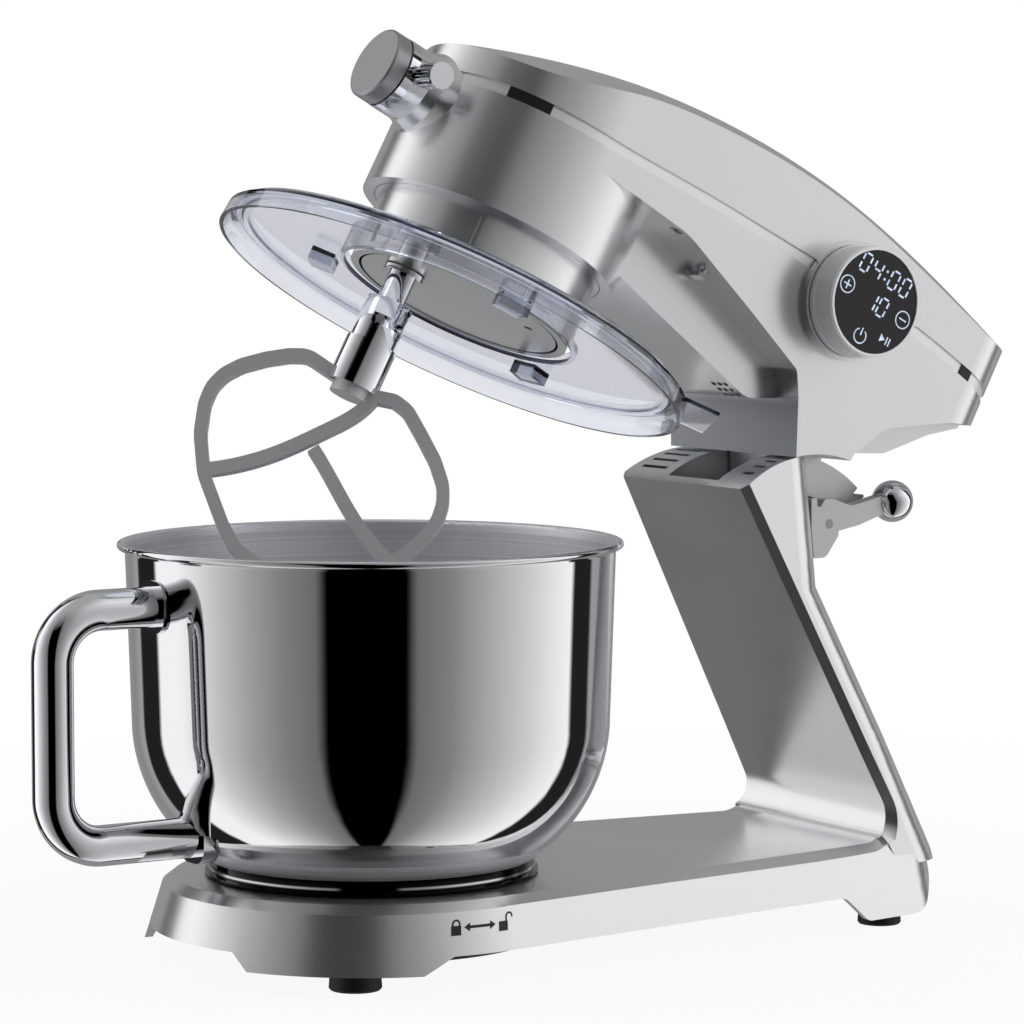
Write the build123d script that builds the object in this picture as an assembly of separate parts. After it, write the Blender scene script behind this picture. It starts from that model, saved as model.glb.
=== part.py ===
"""Tilt-head stand mixer with a steel bowl, drawn in millimetres with +Z up.

Work frame while drawing: X = 0 and Y = 0 on the bowl's axis, Z = 0 on the worktop,
+X towards the rear, and the display on the -Y side.  The head is drawn level and then
raised about the pivot by HEAD_TILT, the pose in which the mixer rests here.  At the end
everything is moved so that the origin is the middle of the footprint's box.
"""

from build123d import *
import os
from math import asin, atan2, ceil, cos, degrees, hypot, pi, radians, sin, sqrt, tan

# ---- Rest pose and hinge -------------------------------------------------------------
HEAD_TILT = 28.3                # head raised by this angle about the pivot
PIVOT_X = 224.0
PIVOT_Z = 167.0
BARREL_R = 71.0                 # round top of the column, centred on the pivot
NECK_GAP = 0.6                  # head's neck clears the round top by this
PIVOT_PIN_R = 5.0
PIVOT_BUSH_R = 7.0
LUG_HUB_R = 9.4                 # hub of the hinge lug around its bushes
LUG_Y_LOW = -26.0               # hinge lug of the head, between the column's two cheeks
LUG_Y_HIGH = 15.0
LUG_SIDE_GAP = 1.5
LUG_IN_R = 52.0                 # the lug's round web starts at this radius
LUG_TOP_R = 84.0                # the lug reaches into the neck up to this radius
LUG_PAD = 8.0                   # thickness of each pad of the neck beside the lug
LUG_BOLT_R = 2.0
LUG_FROM = -30.0                # the web's ends, as angles from the vertical
LUG_TO = 20.0
CHEEK_T = 4.0                   # cheeks of the column beside the lug
CHEEK_BOSS = 8.0                # length of the pin's boss outside each cheek
BUSH_LENGTH = 10.0
NECK_SLOT = 0.5                 # clearance of the lug in the neck's opening
RUNNING_GAP = 0.05              # radial clearance of a shaft in its bush

# ---- Stand: base and column ----------------------------------------------------------
BASE_TOP_Z = 42.0
SKIRT_Z = 18.5                  # lower edge of the base's skirt
BOSS_Z = 10.5                   # lower edge of the skirt around the front feet
BOSS_FRONT_Y = (41.5, 51.5)     # front end of that skirt: at the upper and at the lower edge
BOSS_SIDE_X = (-17.5, -33.0)    # and its rear end
LEG_Z = 6.0                     # lower edge of the rear legs
BASE_TOP_R = 100.0              # round front of the base, at the top
BASE_FLARE = 0.31               # the base widens by this per unit of height, downwards
BASE_RUN_IN = 7.6               # each side runs in by this angle, towards the rear
BASE_REAR_X = 300.0
BASE_REAR_CORNER = 27.0
CASTING_WALL = 4.0
COLUMN_FOOT_X = 274.7           # front face of the column where it meets the base top
COLUMN_LEAN = 27.4              # degrees from upright, towards the bowl
COLUMN_DEPTH = 25.0             # front to rear, measured level
COLUMN_HALF_FOOT = 65.5         # half width of the column's front at the base top
COLUMN_HALF_KNEE = 62.0         # where its sides start to spread
COLUMN_HALF_TOP = 56.0          # and at the top of its front face
COLUMN_KNEE_Z = 93.0
COLUMN_TOP_Z = 221.0
COLUMN_REAR_X = 229.0           # rear face of the upright part behind the pivot
COLUMN_RUN_IN = 5.0             # above the knee its sides run in by this angle, rearwards
COLUMN_CORNER_FOOT = 27.0       # rear corners of the column at the base top
COLUMN_CORNER = 20.0            # and from the knee up
COLUMN_FOOT_FILLET = 14.0
EDGE_CHAMFER = 4.0              # bevel along the column's and the base's inner edge
SPINE_HALF = 36.0               # rear cover of the column
SPINE_BULGE = 11.0
SPINE_WALL = 2.5
SPINE_LOW_Z = 62.0
SPINE_HIGH_Z = 160.0
SPINE_SCREW_YS = (-24.0, 24.0)
SPINE_SCREW_ZS = (80.0, 145.0)

# ---- Feet ----------------------------------------------------------------------------
FOOT_FRONT_X = -47.7
FOOT_FRONT_Y = 66.7
FOOT_REAR_X = 262.5
FOOT_REAR_Y = 60.0
FOOT_FRONT_R = 12.5
FOOT_REAR_R = 11.0
FOOT_SCREW_R = 2.0
PLATE_SCREW_XS = (95.0, 200.0)
PLATE_SCREW_Y = 55.0
PLATE_Z = SKIRT_Z - 0.6         # underside of the base plate
PLATE_T = 3.0
DISH_R = 83.0
DISH_DROP = 6.0

# ---- Bowl ----------------------------------------------------------------------------
RIM_Z = 201.0
BOWL_TOP_R = 118.0              # outside of the wall under the rim
RIM_R = BOWL_TOP_R + 2.0        # middle of the rolled rim
RIM_BEAD_R = 1.8
BOWL_WALL = 1.2
BOWL_BEND_R = BOWL_TOP_R - 2.7  # outside of the wall where it starts to turn in
BOWL_BEND_Z = 118.0
BOWL_TURN_R = 82.1              # radius of the turned-in part
BOWL_FLOOR_Z = BASE_TOP_Z + 4.5
BOWL_FOOT_R = BOWL_BEND_R - 36.2
BOWL_FOOT_Z = BASE_TOP_Z + 0.3
BOWL_FOOT_TOP_Z = 52.0
BOWL_FOOT_WALL = 2.2
SEAT_R = BOWL_FOOT_R - 11.1     # boss on the base that centres the bowl's foot
SEAT_LUG_R = SEAT_R + 3.5
SEAT_LUG_HALF = 9.0             # half angle of each lug and of each tab
SEAT_LUG_ANGLES = (60.0, 180.0, 300.0)
HANDLE_REACH_X = -RIM_R - 49.5  # middle of the upright part of the handle
HANDLE_TOP_Z = RIM_Z - 24.5
HANDLE_LOW_Z = BOWL_FLOOR_Z + 20.0
HANDLE_WIDE = 20.0
HANDLE_THICK = 19.0
HANDLE_BEND_R = 24.0
HANDLE_PAD = 5.5                # each end spreads by this, half on each side

# ---- Head, in the level position -----------------------------------------------------
HEAD_FRONT_R = 66.0             # round front of the head, on the bowl's axis
HEAD_TAPER = 3.5                # each side runs in by this angle, towards the tail
HEAD_TAIL_X = 290.0
HEAD_TAIL_CORNER = 30.0
HOUSING_Z = 249.0               # underside of the round gear housing
HEAD_PEAK_X = 137.0
HEAD_PEAK_Z = HOUSING_Z + 115.3
ROOF_FRONT_R = 505.0            # roundness of the roof along the head, before the peak
ROOF_REAR_R = 520.0             # and behind it
CROWN_FRONT_R = 139.0           # roundness of the roof across the head, up to CROWN_FROM_X
CROWN_REAR_R = 93.0             # and from CROWN_TO_X on
CROWN_FROM_X = 60.0
CROWN_TO_X = 213.0
HEAD_WALL = 3.0
BAND_Z = HOUSING_Z + 55.0       # middle of the light band over the bowl's axis
BAND_HEIGHT = 5.5               # light band around the head
BAND_RECESS = 1.0
INLAY_T = 0.9
BAND_INLAYS = ((-47.5, -29.5), (255.0, 263.0))      # dark pieces in the band, from and to
BELLY_HALF = 38.0
FLOOR_Z = HOUSING_Z + 12.0      # underside of the floor that carries the drive
FLOOR_T = 3.5
COVER_SCREWS = ((62.0, -1), (62.0, 1), (232.0, -1), (232.0, 1))
COVER_SCREW_Z = HOUSING_Z + 41.0
POST_R = 4.0                    # posts of the cover and of the casting for these screws
VENT_X = 138.0
VENT_PITCH = 4.6
VENT_WIDTH = 2.6

# ---- Drive ---------------------------------------------------------------------------
HUB_Z = HOUSING_Z + 45.6        # height of the nose hub, its shaft and the motor shaft
SHAFT_OFFSET = 34.0             # beater shaft from the middle of the planet carrier
RING_TEETH = 50
PINION_TEETH = 16
GEAR_MODULE = 2.0
RING_OUT_R = 60.0
CROWN_TEETH = 52
DRIVE_TEETH = 20
DRIVE_MODULE = 1.3
MOTOR_SHAFT_R = 5.0
OUTPUT_SHAFT_R = 7.0
OUTPUT_BUSH_T = 3.0
OUTPUT_BUSH_LENGTH = 9.0
SHAFT_R = 8.0                   # carrier's upright shaft
BUSH_T = 4.0
CARRIER_BUSH_R = SHAFT_R + BUSH_T
BRIDGE_Z = HUB_Z + 21.0         # underside of the bridge over the crown gear
BRIDGE_T = 5.0
BRIDGE_LEG = 6.0
BRIDGE_REACH = 57.0             # outer faces of the bridge's legs
BRIDGE_HALF = 14.0
PINION_FACE = 5.0               # width of the two drive pinions
PINION_IN = 31.5                # their inner faces, from the carrier's axis
MOTOR_R = 35.0
MOTOR_BORE_R = 23.0
MOTOR_FROM = 172.0
MOTOR_TO = 228.0
MOTOR_GAP = 1.0
MOUNT_X = 150.0
MOUNT_T = 5.0
TIE_R = 2.5
PLATE_REAR_X = 246.0
MOTOR_SHAFT_END = PLATE_REAR_X + MOUNT_T + 2
GEAR_Z = HOUSING_Z + 1.6        # underside of the planet pinion
GEAR_FACE = 9.4

# ---- Beater --------------------------------------------------------------------------
BEATER_BOTTOM_Z = 53.5          # middle of the loop's bar at its lowest point
BEATER_TOP_Z = 157.5            # middle of the loop's bar at its higher shoulder
BEATER_HALF = 64.0              # middle of the loop's bar at its widest, from the axis
BEATER_BAR = 6.2
BEATER_THICK = 8.0
BEATER_TURN = -35.0             # direction of the beater's plane, at rest
BEATER_CORE_R = 9.5
SLEEVE_LOW_R = 12.7
SLEEVE_TOP_R = 11.5
SLEEVE_LOW_Z = 152.0
SLEEVE_STEP_Z = 175.0
SLEEVE_TOP_Z = 197.0
BEATER_PIN_Z = 186.0
BEATER_PIN_R = 2.2
BEATER_TWIST = 50.0             # turn that frees the beater from its pin

# ---- Nose hub ------------------------------------------------------------------------
HUB_R = 18.5
HUB_BORE_R = 14.4
HUB_RING_BORE_R = 12.7
HUB_FACE_X = -87.0
CAP_FACE_X = -96.5
HUB_SEAT_X = -68.0              # end of the hub's bore
HUB_BUSH_R = 9.5
HUB_SHAFT_X = -78.0             # front end of the hub shaft
HUB_SOCKET_R = 6.5
THUMB_X = -78.0
THUMB_RISE = 1.9                # the thumb screw sits this much above the hub's axis
THUMB_KNOB_R = 6.5
THUMB_KNOB_LENGTH = 15.0
THUMB_SHANK_R = 3.0

# ---- Display knob --------------------------------------------------------------------
DISPLAY_X = 171.4
DISPLAY_Z = HOUSING_Z + 58.0
DISPLAY_R = 25.4
KNOB_FACE_R = 27.6
KNOB_BASE_R = 30.0
KNOB_REACH = 22.5               # from the head's side to the knob's face
KNOB_STEM_R = 22.0
KNOB_STEM_WALL = 2.5
KNOB_GAP = 0.08
DISPLAY_WIRE_R = 8.0

# ---- Splash guard --------------------------------------------------------------------
GUARD_R = RIM_R + 2.1
GUARD_LOW_Z = RIM_Z + 2.5
GUARD_TOP_Z = GUARD_LOW_Z + 12.0
GUARD_WALL = 2.2
GUARD_TWIST = 18.0
PLANET_R = 57.0                 # round planet housing under the gear housing
PLANET_Z = GUARD_TOP_Z - 1.0
GUARD_IN_R = PLANET_R + 3.4
GUARD_LUG_ANGLES = (40.0, 160.0, 280.0)
GUARD_HOOK_R = PLANET_R + 2.6
GUARD_HOOK_Z = GUARD_TOP_Z + 3.5

# ---- Release lever -------------------------------------------------------------------
LEVER_X = 240.0
LEVER_Z = 203.0
LEVER_BALL_X = 286.6
LEVER_BALL_Z = 212.0
LEVER_BALL_R = 10.7
LEVER_Y = -37.0                 # middle of the lever
LEVER_T = 8.0
LEVER_PIN_R = 2.5
LEVER_EAR_T = 4.5
LEVER_SIDE_GAP = 0.4
BRACKET_LOW_Z = 186.0

LEAN = tan(radians(COLUMN_LEAN))
TAPER = tan(radians(HEAD_TAPER))
BIG = 400.0                     # reaches past the whole mixer


# ---- Drawing helpers -----------------------------------------------------------------
def outline(corners):
    """Closed flat face through (u, v, radius) corners, each rounded by its radius."""
    face = make_face(Polyline(*[(u, v) for u, v, _ in corners], close=True))
    for radius in sorted({r for _, _, r in corners if r > 0}):
        marks = [Vector(u, v, 0) for u, v, r in corners if r == radius]
        picked = [min(face.vertices(), key=lambda vertex: (Vector(vertex) - mark).length)
                  for mark in marks]
        face = fillet(picked, radius)
    return face


def side_slab(face, y_low, y_high):
    """Extrude a face drawn in X and Z between two Y planes."""
    return Pos(0, y_high, 0) * extrude(Plane.XZ * face, amount=y_high - y_low)


def rod(radius, low, high, x=0.0, y=0.0):
    """Upright cylinder between two heights."""
    return Pos(x, y, (low + high) / 2) * Cylinder(radius, high - low)


def rod_x(radius, x_low, x_high, y=0.0, z=0.0):
    return Pos((x_low + x_high) / 2, y, z) * Rot(0, 90, 0) * Cylinder(radius, x_high - x_low)


def rod_y(radius, y_low, y_high, x=0.0, z=0.0):
    return Pos(x, (y_low + y_high) / 2, z) * Rot(90, 0, 0) * Cylinder(radius, y_high - y_low)


def block(x, y, z):
    """Box between the low and high ends of each pair."""
    return Pos(sum(x) / 2, sum(y) / 2, sum(z) / 2) * Box(x[1] - x[0], y[1] - y[0], z[1] - z[0])


def turned(points):
    """Solid of revolution of a closed (radius, height) outline about the Z axis."""
    return revolve(Plane.XZ * make_face(Polyline(*points, close=True)), axis=Axis.Z)


def raised(shape):
    """Turn a level head part into the raised rest pose."""
    return Pos(PIVOT_X, 0, PIVOT_Z) * Rot(0, HEAD_TILT, 0) * Pos(-PIVOT_X, 0, -PIVOT_Z) * shape


def screw(head_r, head_t, shank_r, length, at=(0, 0, 0), turn=(0, 0, 0)):
    """Pan-head screw: the head stands on Z = 0 and the shank points down."""
    body = rod(shank_r, -length, 0) + rod(head_r, 0, head_t)
    drive = block((-head_r * 0.6, head_r * 0.6), (-0.4, 0.4), (head_t * 0.5, head_t + 1))
    cross = Rot(0, 0, 90) * drive
    return Pos(*at) * Rot(*turn) * (body - drive - cross)


def gear(teeth, module, thickness, bore_r, backlash=0.25):
    """Spur gear with straight-flanked teeth, standing on Z = 0."""
    pitch_r = teeth * module / 2
    tip = module * 0.8
    root = module * 1.0
    half = pi * module / 4 - backlash
    tooth = make_face(Polyline(
        (pitch_r - root - 0.5, -half - root * 0.36), (pitch_r + tip, -half + tip * 0.36),
        (pitch_r + tip, half - tip * 0.36), (pitch_r - root - 0.5, half + root * 0.36),
        close=True))
    face = Circle(pitch_r - root)
    for index in range(teeth):
        face += Rot(0, 0, 360 / teeth * index) * tooth
    return extrude(face - Circle(bore_r), amount=thickness)


# ---- Shared outlines -----------------------------------------------------------------
def column_front_x(z):
    """Front face of the column, and of the head's neck when level."""
    return COLUMN_FOOT_X - (z - BASE_TOP_Z) * LEAN


def base_r(z):
    """Radius of the base's round front at a height."""
    return BASE_TOP_R + (BASE_TOP_Z - z) * BASE_FLARE


def base_plan(z, inset):
    """Plan of the base behind the bowl at a height: straight sides that run in."""
    run_in = radians(BASE_RUN_IN)
    r = base_r(z) - inset
    start = (r * sin(run_in), r * cos(run_in))
    rear_x = BASE_REAR_X - inset
    rear_y = r / cos(run_in) - rear_x * tan(run_in)
    corner = BASE_REAR_CORNER - inset
    return Pos(0, 0, z) * outline([
        (0, start[1] * 0.9, 0), (start[0], start[1], 0), (rear_x, rear_y, corner),
        (rear_x, -rear_y, corner), (start[0], -start[1], 0), (0, -start[1] * 0.9, 0)])


def stand_side(inset):
    """Side view of the base beam, the column and its round top, as one face."""
    outer = inset == 0
    step = inset / cos(radians(COLUMN_LEAN))
    back_low_z = 36.0
    back_high_z = 172.0
    rear = COLUMN_REAR_X - inset
    low = SKIRT_Z if outer else 0.0
    leg = LEG_Z if outer else 0.0
    face = outline([
        (-20, low, 0), (228 + inset, low, 8 if outer else 0), (241 + inset, leg, 6 if outer else 0),
        (281 - inset, leg, 16 if outer else 0),
        (column_front_x(back_low_z) + COLUMN_DEPTH - inset, back_low_z, 28),
        (column_front_x(back_high_z) + COLUMN_DEPTH - inset, back_high_z, 30),
        (rear, 200, 12), (rear, BIG, 0),
        (column_front_x(BIG) + step, BIG, 0),
        (column_front_x(BASE_TOP_Z - inset) + step, BASE_TOP_Z - inset, COLUMN_FOOT_FILLET + inset),
        (-20, BASE_TOP_Z - inset, 0)])
    above = Pos(PIVOT_X, PIVOT_Z + BIG / 2) * Rectangle(2 * BIG, BIG)
    return face - (above - Pos(PIVOT_X, PIVOT_Z) * Circle(BARREL_R - inset))


def column_half(z):
    """Half width of the column at a height."""
    if z < COLUMN_KNEE_Z:
        share = (z - BASE_TOP_Z) / (COLUMN_KNEE_Z - BASE_TOP_Z)
        return COLUMN_HALF_FOOT + (COLUMN_HALF_KNEE - COLUMN_HALF_FOOT) * share
    share = (z - COLUMN_KNEE_Z) / (COLUMN_TOP_Z - COLUMN_KNEE_Z)
    return COLUMN_HALF_KNEE + (COLUMN_HALF_TOP - COLUMN_HALF_KNEE) * share


def column_section(z, inset):
    """Level section of the column, reaching a little past its front and rear faces."""
    share = max(0.0, min(1.0, (z - BASE_TOP_Z) / (COLUMN_KNEE_Z - BASE_TOP_Z)))
    run_in = tan(radians(BASE_RUN_IN + (COLUMN_RUN_IN - BASE_RUN_IN) * share))
    front_x = column_front_x(z) - 12.0
    rear_x = max(column_front_x(z) + COLUMN_DEPTH, COLUMN_REAR_X) + 0.5 - inset
    front_half = column_half(z) - inset + 12.0 * run_in
    rear_half = front_half - (rear_x - front_x) * run_in
    corner = COLUMN_CORNER_FOOT + (COLUMN_CORNER - COLUMN_CORNER_FOOT) * share - inset
    return Pos(0, 0, z) * outline([(front_x, -front_half, 0), (rear_x, -rear_half, corner),
                                   (rear_x, rear_half, corner), (front_x, front_half, 0)])


def stand_form(inset):
    """The stand as one solid form, drawn smaller by an inset to make its hollow."""
    outer = inset == 0
    low = 0.0 if inset else LEG_Z - 2
    beam = loft([base_plan(low, inset), base_plan(BASE_TOP_Z + 2, inset)], ruled=True)
    knee = PIVOT_Z + 5
    spans = [30.0, COLUMN_KNEE_Z, knee, 250.0]
    column = beam
    for below, above in zip(spans, spans[1:]):
        column += loft([column_section(below, inset), column_section(above, inset)], ruled=True)
    form = column & side_slab(stand_side(inset), -BIG, BIG)
    if outer:
        form = chamfer(inner_edges(form), EDGE_CHAMFER)
    disc_low = BOSS_Z if outer else 0.0
    top_z = BASE_TOP_Z - inset
    disc = turned([(0, disc_low), (base_r(disc_low) - inset, disc_low),
                   (base_r(top_z - EDGE_CHAMFER) - inset, top_z - EDGE_CHAMFER),
                   (BASE_TOP_R - EDGE_CHAMFER - inset, top_z), (0, top_z)])
    if outer:
        top_y, top_x = BOSS_FRONT_Y[0], BOSS_SIDE_X[0]
        floor_y, floor_x = (top + (low - top) * SKIRT_Z / (SKIRT_Z - BOSS_Z)
                            for top, low in (BOSS_FRONT_Y, BOSS_SIDE_X))
        arch = outline([(-top_y, SKIRT_Z, 3), (top_y, SKIRT_Z, 3), (floor_y, 0, 0), (-floor_y, 0, 0)])
        cut_front = Rot(0, 0, 90) * side_slab(arch, 0, BIG)
        cut_side = side_slab(outline([(top_x, SKIRT_Z, 3), (BIG, SKIRT_Z, 0), (BIG, 0, 0), (floor_x, 0, 0)]),
                             -BIG, BIG)
        disc = disc - cut_front - cut_side
    return form + disc


def inner_edges(form):
    """The two edge lines that run along the base top and up the column's front."""
    picked = []
    for edge in form.edges():
        middle = edge @ 0.5
        on_top = abs(middle.Z - BASE_TOP_Z) < 0.01 and middle.X > 20
        ahead = abs(middle.X - column_front_x(middle.Z)) < 0.05
        on_front = ahead and BASE_TOP_Z < middle.Z < COLUMN_TOP_Z
        in_fillet = BASE_TOP_Z < middle.Z < BASE_TOP_Z + 14 and middle.X < COLUMN_FOOT_X + 2
        if (on_top or on_front or in_fillet) and abs(middle.Y) > 50:
            picked.append(edge)
    return picked


def head_half(x, inset=0.0):
    """Half width of the head at a distance behind the bowl's axis."""
    return (HEAD_FRONT_R - inset) / cos(radians(HEAD_TAPER)) - x * TAPER


def head_plan(inset):
    """Plan of the head: a round nose end and sides that run in to a rounded tail."""
    r = HEAD_FRONT_R - inset
    slope = radians(HEAD_TAPER)
    start = (r * sin(slope), r * cos(slope))
    tail_x = HEAD_TAIL_X - inset
    corner = HEAD_TAIL_CORNER - inset
    tail = outline([
        (0, 0, 0), (start[0], start[1], 0), (tail_x, head_half(tail_x, inset), corner),
        (tail_x, -head_half(tail_x, inset), corner), (start[0], -start[1], 0)])
    return Circle(r) + tail


def roof_z(x):
    """Height of the roof's middle line: one arc before the peak and one behind it."""
    r = ROOF_FRONT_R if x < HEAD_PEAK_X else ROOF_REAR_R
    return HEAD_PEAK_Z - r + sqrt(r ** 2 - (x - HEAD_PEAK_X) ** 2)


def roof_section(x, inset):
    """Section across the head under its roof, round on top; the roof rounds more rearwards."""
    share = max(0.0, min(1.0, (x - CROWN_FROM_X) / (CROWN_TO_X - CROWN_FROM_X)))
    crown = CROWN_FRONT_R + (CROWN_REAR_R - CROWN_FRONT_R) * share - inset
    half = HEAD_FRONT_R + 8.0
    top = roof_z(x) - inset
    edge = top - crown + sqrt(crown ** 2 - half ** 2)
    arc = ThreePointArc((-half, edge), (0, top), (half, edge))
    sides = Polyline((half, edge), (half, 0), (-half, 0), (-half, edge))
    return Plane((x, 0, 0), x_dir=(0, 1, 0), z_dir=(1, 0, 0)) * make_face([arc, sides])


def head_roof(inset):
    """Everything under the roof."""
    stations = (-80.0, -20.0, CROWN_FROM_X, 110.0, 160.0, CROWN_TO_X, 255.0, 310.0)
    return loft([roof_section(x, inset) for x in stations])


def head_side(inset):
    """Side view of the head above its cheeks, its neck and its tail's underside."""
    neck_front = inset / cos(radians(COLUMN_LEAN))
    arc_r = BARREL_R + NECK_GAP + 0.4
    low = HOUSING_Z + inset
    neck = PIVOT_Z + inset
    chin = PIVOT_Z + 84.0
    face = outline([
        (-90, low + 44, 0), (66, low + 39.5, 50), (122, low + 24, 60), (159 + inset, low + 13, 5),
        (column_front_x(chin) + neck_front, chin + inset, 8),
        (column_front_x(PIVOT_Z + 48) + neck_front, PIVOT_Z + 48, 0),
        (212 - inset, PIVOT_Z + 61, 0), (213 - inset, PIVOT_Z + 75, 8), (226 - inset, neck + 96, 14),
        (262 - inset, neck + 117, 30), (310, neck + 136, 0), (310, BIG, 0), (-90, BIG, 0)])
    return face - Pos(PIVOT_X, PIVOT_Z) * Circle(arc_r + inset)


def head_form(inset):
    """The head as one solid form, drawn smaller by an inset to make its hollow."""
    body = extrude(head_plan(inset), amount=BIG) & side_slab(head_side(inset), -BIG, BIG)
    low = HOUSING_Z + inset
    high = HOUSING_Z + 51.0
    body += rod(HEAD_FRONT_R - inset, low, high)
    belly = outline([
        (40, low + 13, 0), (62, low + 8.5, 20), (150, low - 8, 14), (172 - inset, low + 3, 0),
        (172 - inset, high, 0), (40, high, 0)])
    tail = outline([
        (216, low - 6, 0), (243 - inset, low + 7, 12), (264 - inset, low + 28, 14),
        (280 - inset, low + 40, 0), (280 - inset, high, 0), (216, high, 0)])
    body += side_slab(belly, -BELLY_HALF + inset, BELLY_HALF - inset)
    body += side_slab(tail, -BELLY_HALF + 4 + inset, BELLY_HALF - 4 - inset)
    body -= rod_y(BARREL_R + NECK_GAP + 0.4 + inset, -BIG, BIG, PIVOT_X, PIVOT_Z)
    return body & head_roof(inset)


# ---- Stand ---------------------------------------------------------------------------
def foot_places():
    """Name and place of each foot."""
    return {"foot_front_near": (FOOT_FRONT_X, -FOOT_FRONT_Y), "foot_front_far": (FOOT_FRONT_X, FOOT_FRONT_Y),
            "foot_rear_near": (FOOT_REAR_X, -FOOT_REAR_Y), "foot_rear_far": (FOOT_REAR_X, FOOT_REAR_Y)}


def plate_screw_places():
    """Axes of the screws that hold the base plate."""
    return [(x, side * PLATE_SCREW_Y) for x in PLATE_SCREW_XS for side in (-1, 1)]


def barrel_slots(angles, y_low, y_high, width=2.4):
    """Slots through the round top of the column, at angles from the vertical."""
    cutter = block((-width / 2, width / 2), (y_low, y_high), (BARREL_R - 8, BARREL_R + 3))
    return [Pos(PIVOT_X, 0, PIVOT_Z) * Rot(0, angle, 0) * cutter for angle in angles]


def make_stand_casting():
    shell = stand_form(0) - stand_form(CASTING_WALL)
    # Two cheeks stand inside the round top and carry the hinge pin.
    cheek_side = stand_side(1.0) - Pos(0, 60) * Rectangle(4 * BIG, 120)
    near_out = LUG_Y_LOW - LUG_SIDE_GAP - CHEEK_T
    far_out = LUG_Y_HIGH + LUG_SIDE_GAP + CHEEK_T
    cheeks = side_slab(cheek_side, near_out, near_out + CHEEK_T)
    cheeks += side_slab(cheek_side, far_out - CHEEK_T, far_out)
    bosses = rod_y(PIVOT_PIN_R + 5, near_out - CHEEK_BOSS, near_out + 1, PIVOT_X, PIVOT_Z)
    bosses += rod_y(PIVOT_PIN_R + 5, far_out - 1, far_out + CHEEK_BOSS, PIVOT_X, PIVOT_Z)
    casting = shell + cheeks + bosses
    for x, y in foot_places().values():
        casting += rod(6.5, PLATE_Z + PLATE_T, BASE_TOP_Z - 1, x, y)
    for x, y in plate_screw_places():
        casting += rod(4.5, PLATE_Z + PLATE_T, BASE_TOP_Z - 1, x, y)
        casting -= rod(1.5, PLATE_Z, PLATE_Z + 16, x, y)
    for x, y in foot_places().values():
        casting -= rod(FOOT_SCREW_R, PLATE_Z, PLATE_Z + 18, x, y)
    # The slot that the hinge lug swings in, open at the top and at the rear.
    front = 4.6 / cos(radians(COLUMN_LEAN))
    slot = outline([(column_front_x(150) + front, 150, 6), (column_front_x(260) + front, 260, 0),
                    (300, 260, 0), (300, 150, 0)])
    casting -= side_slab(slot, LUG_Y_LOW - LUG_SIDE_GAP, LUG_Y_HIGH + LUG_SIDE_GAP)
    casting -= rod_y(LUG_HUB_R + 0.6, LUG_Y_LOW - LUG_SIDE_GAP, LUG_Y_HIGH + LUG_SIDE_GAP,
                     PIVOT_X, PIVOT_Z)
    casting -= barrel_slots((-29, -23, -17, -11), 25, 47)
    casting -= barrel_slots((-27, -21, -15), -48, -39)
    casting -= rod_y(PIVOT_PIN_R, near_out - CHEEK_BOSS, far_out + CHEEK_BOSS, PIVOT_X, PIVOT_Z)
    for y in SPINE_SCREW_YS:
        for z in SPINE_SCREW_ZS:
            casting -= spine_screw_hole(y, z)
    return casting


def spine_frame(z):
    """Plane on the column's rear face at a height, its Z axis pointing rearwards."""
    return Pos(column_front_x(z) + COLUMN_DEPTH, 0, z) * Rot(0, 90 - COLUMN_LEAN, 0)


def spine_screw_hole(y, z):
    return spine_frame(z) * rod(1.6, -CASTING_WALL - 4, 1, 0, y)


def make_column_cover():
    """Rounded cover on the rear face of the column."""
    middle = (SPINE_LOW_Z + SPINE_HIGH_Z) / 2
    length = (SPINE_HIGH_Z - SPINE_LOW_Z) / cos(radians(COLUMN_LEAN))
    bulge_r = (SPINE_HALF ** 2 + SPINE_BULGE ** 2) / (2 * SPINE_BULGE)
    shape = Pos(0, 0, SPINE_BULGE - bulge_r) * Rot(0, 90, 0) * Cylinder(bulge_r, length)
    shape &= block((-length / 2, length / 2), (-SPINE_HALF, SPINE_HALF), (0, SPINE_BULGE + 1))
    ends = [edge for edge in shape.edges() if abs(abs((edge @ 0.5).X) - length / 2) < 0.1
            and (edge @ 0.5).Z > SPINE_BULGE - 1]
    shape = fillet(ends, 2.0)
    inner_length = length - 2 * SPINE_WALL
    hollow = Pos(0, 0, SPINE_BULGE - bulge_r) * Rot(0, 90, 0) * Cylinder(bulge_r - SPINE_WALL, inner_length)
    hollow &= block((-length, length), (-SPINE_HALF, SPINE_HALF), (-1, SPINE_BULGE))
    shape -= hollow
    cover = spine_frame(middle) * shape
    for y in SPINE_SCREW_YS:
        for z in SPINE_SCREW_ZS:
            depth = SPINE_BULGE - bulge_r + sqrt(bulge_r ** 2 - y ** 2)
            cover += spine_frame(z) * rod(3.6, 0, depth - 0.5, 0, y)
            cover -= spine_frame(z) * rod(1.7, -1, SPINE_BULGE + 1, 0, y)
            cover -= spine_frame(z) * rod(3.2, depth - 3, SPINE_BULGE + 1, 0, y)
    return cover


def make_stand_screws():
    """Screws of the rear cover, one solid each."""
    bulge_r = (SPINE_HALF ** 2 + SPINE_BULGE ** 2) / (2 * SPINE_BULGE)
    screws = []
    for y in SPINE_SCREW_YS:
        depth = SPINE_BULGE - bulge_r + sqrt(bulge_r ** 2 - y ** 2) - 3
        for z in SPINE_SCREW_ZS:
            screws.append(spine_frame(z) * Pos(0, y, depth) * screw(3.0, 1.8, 1.45, depth + 6))
    return screws


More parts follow.
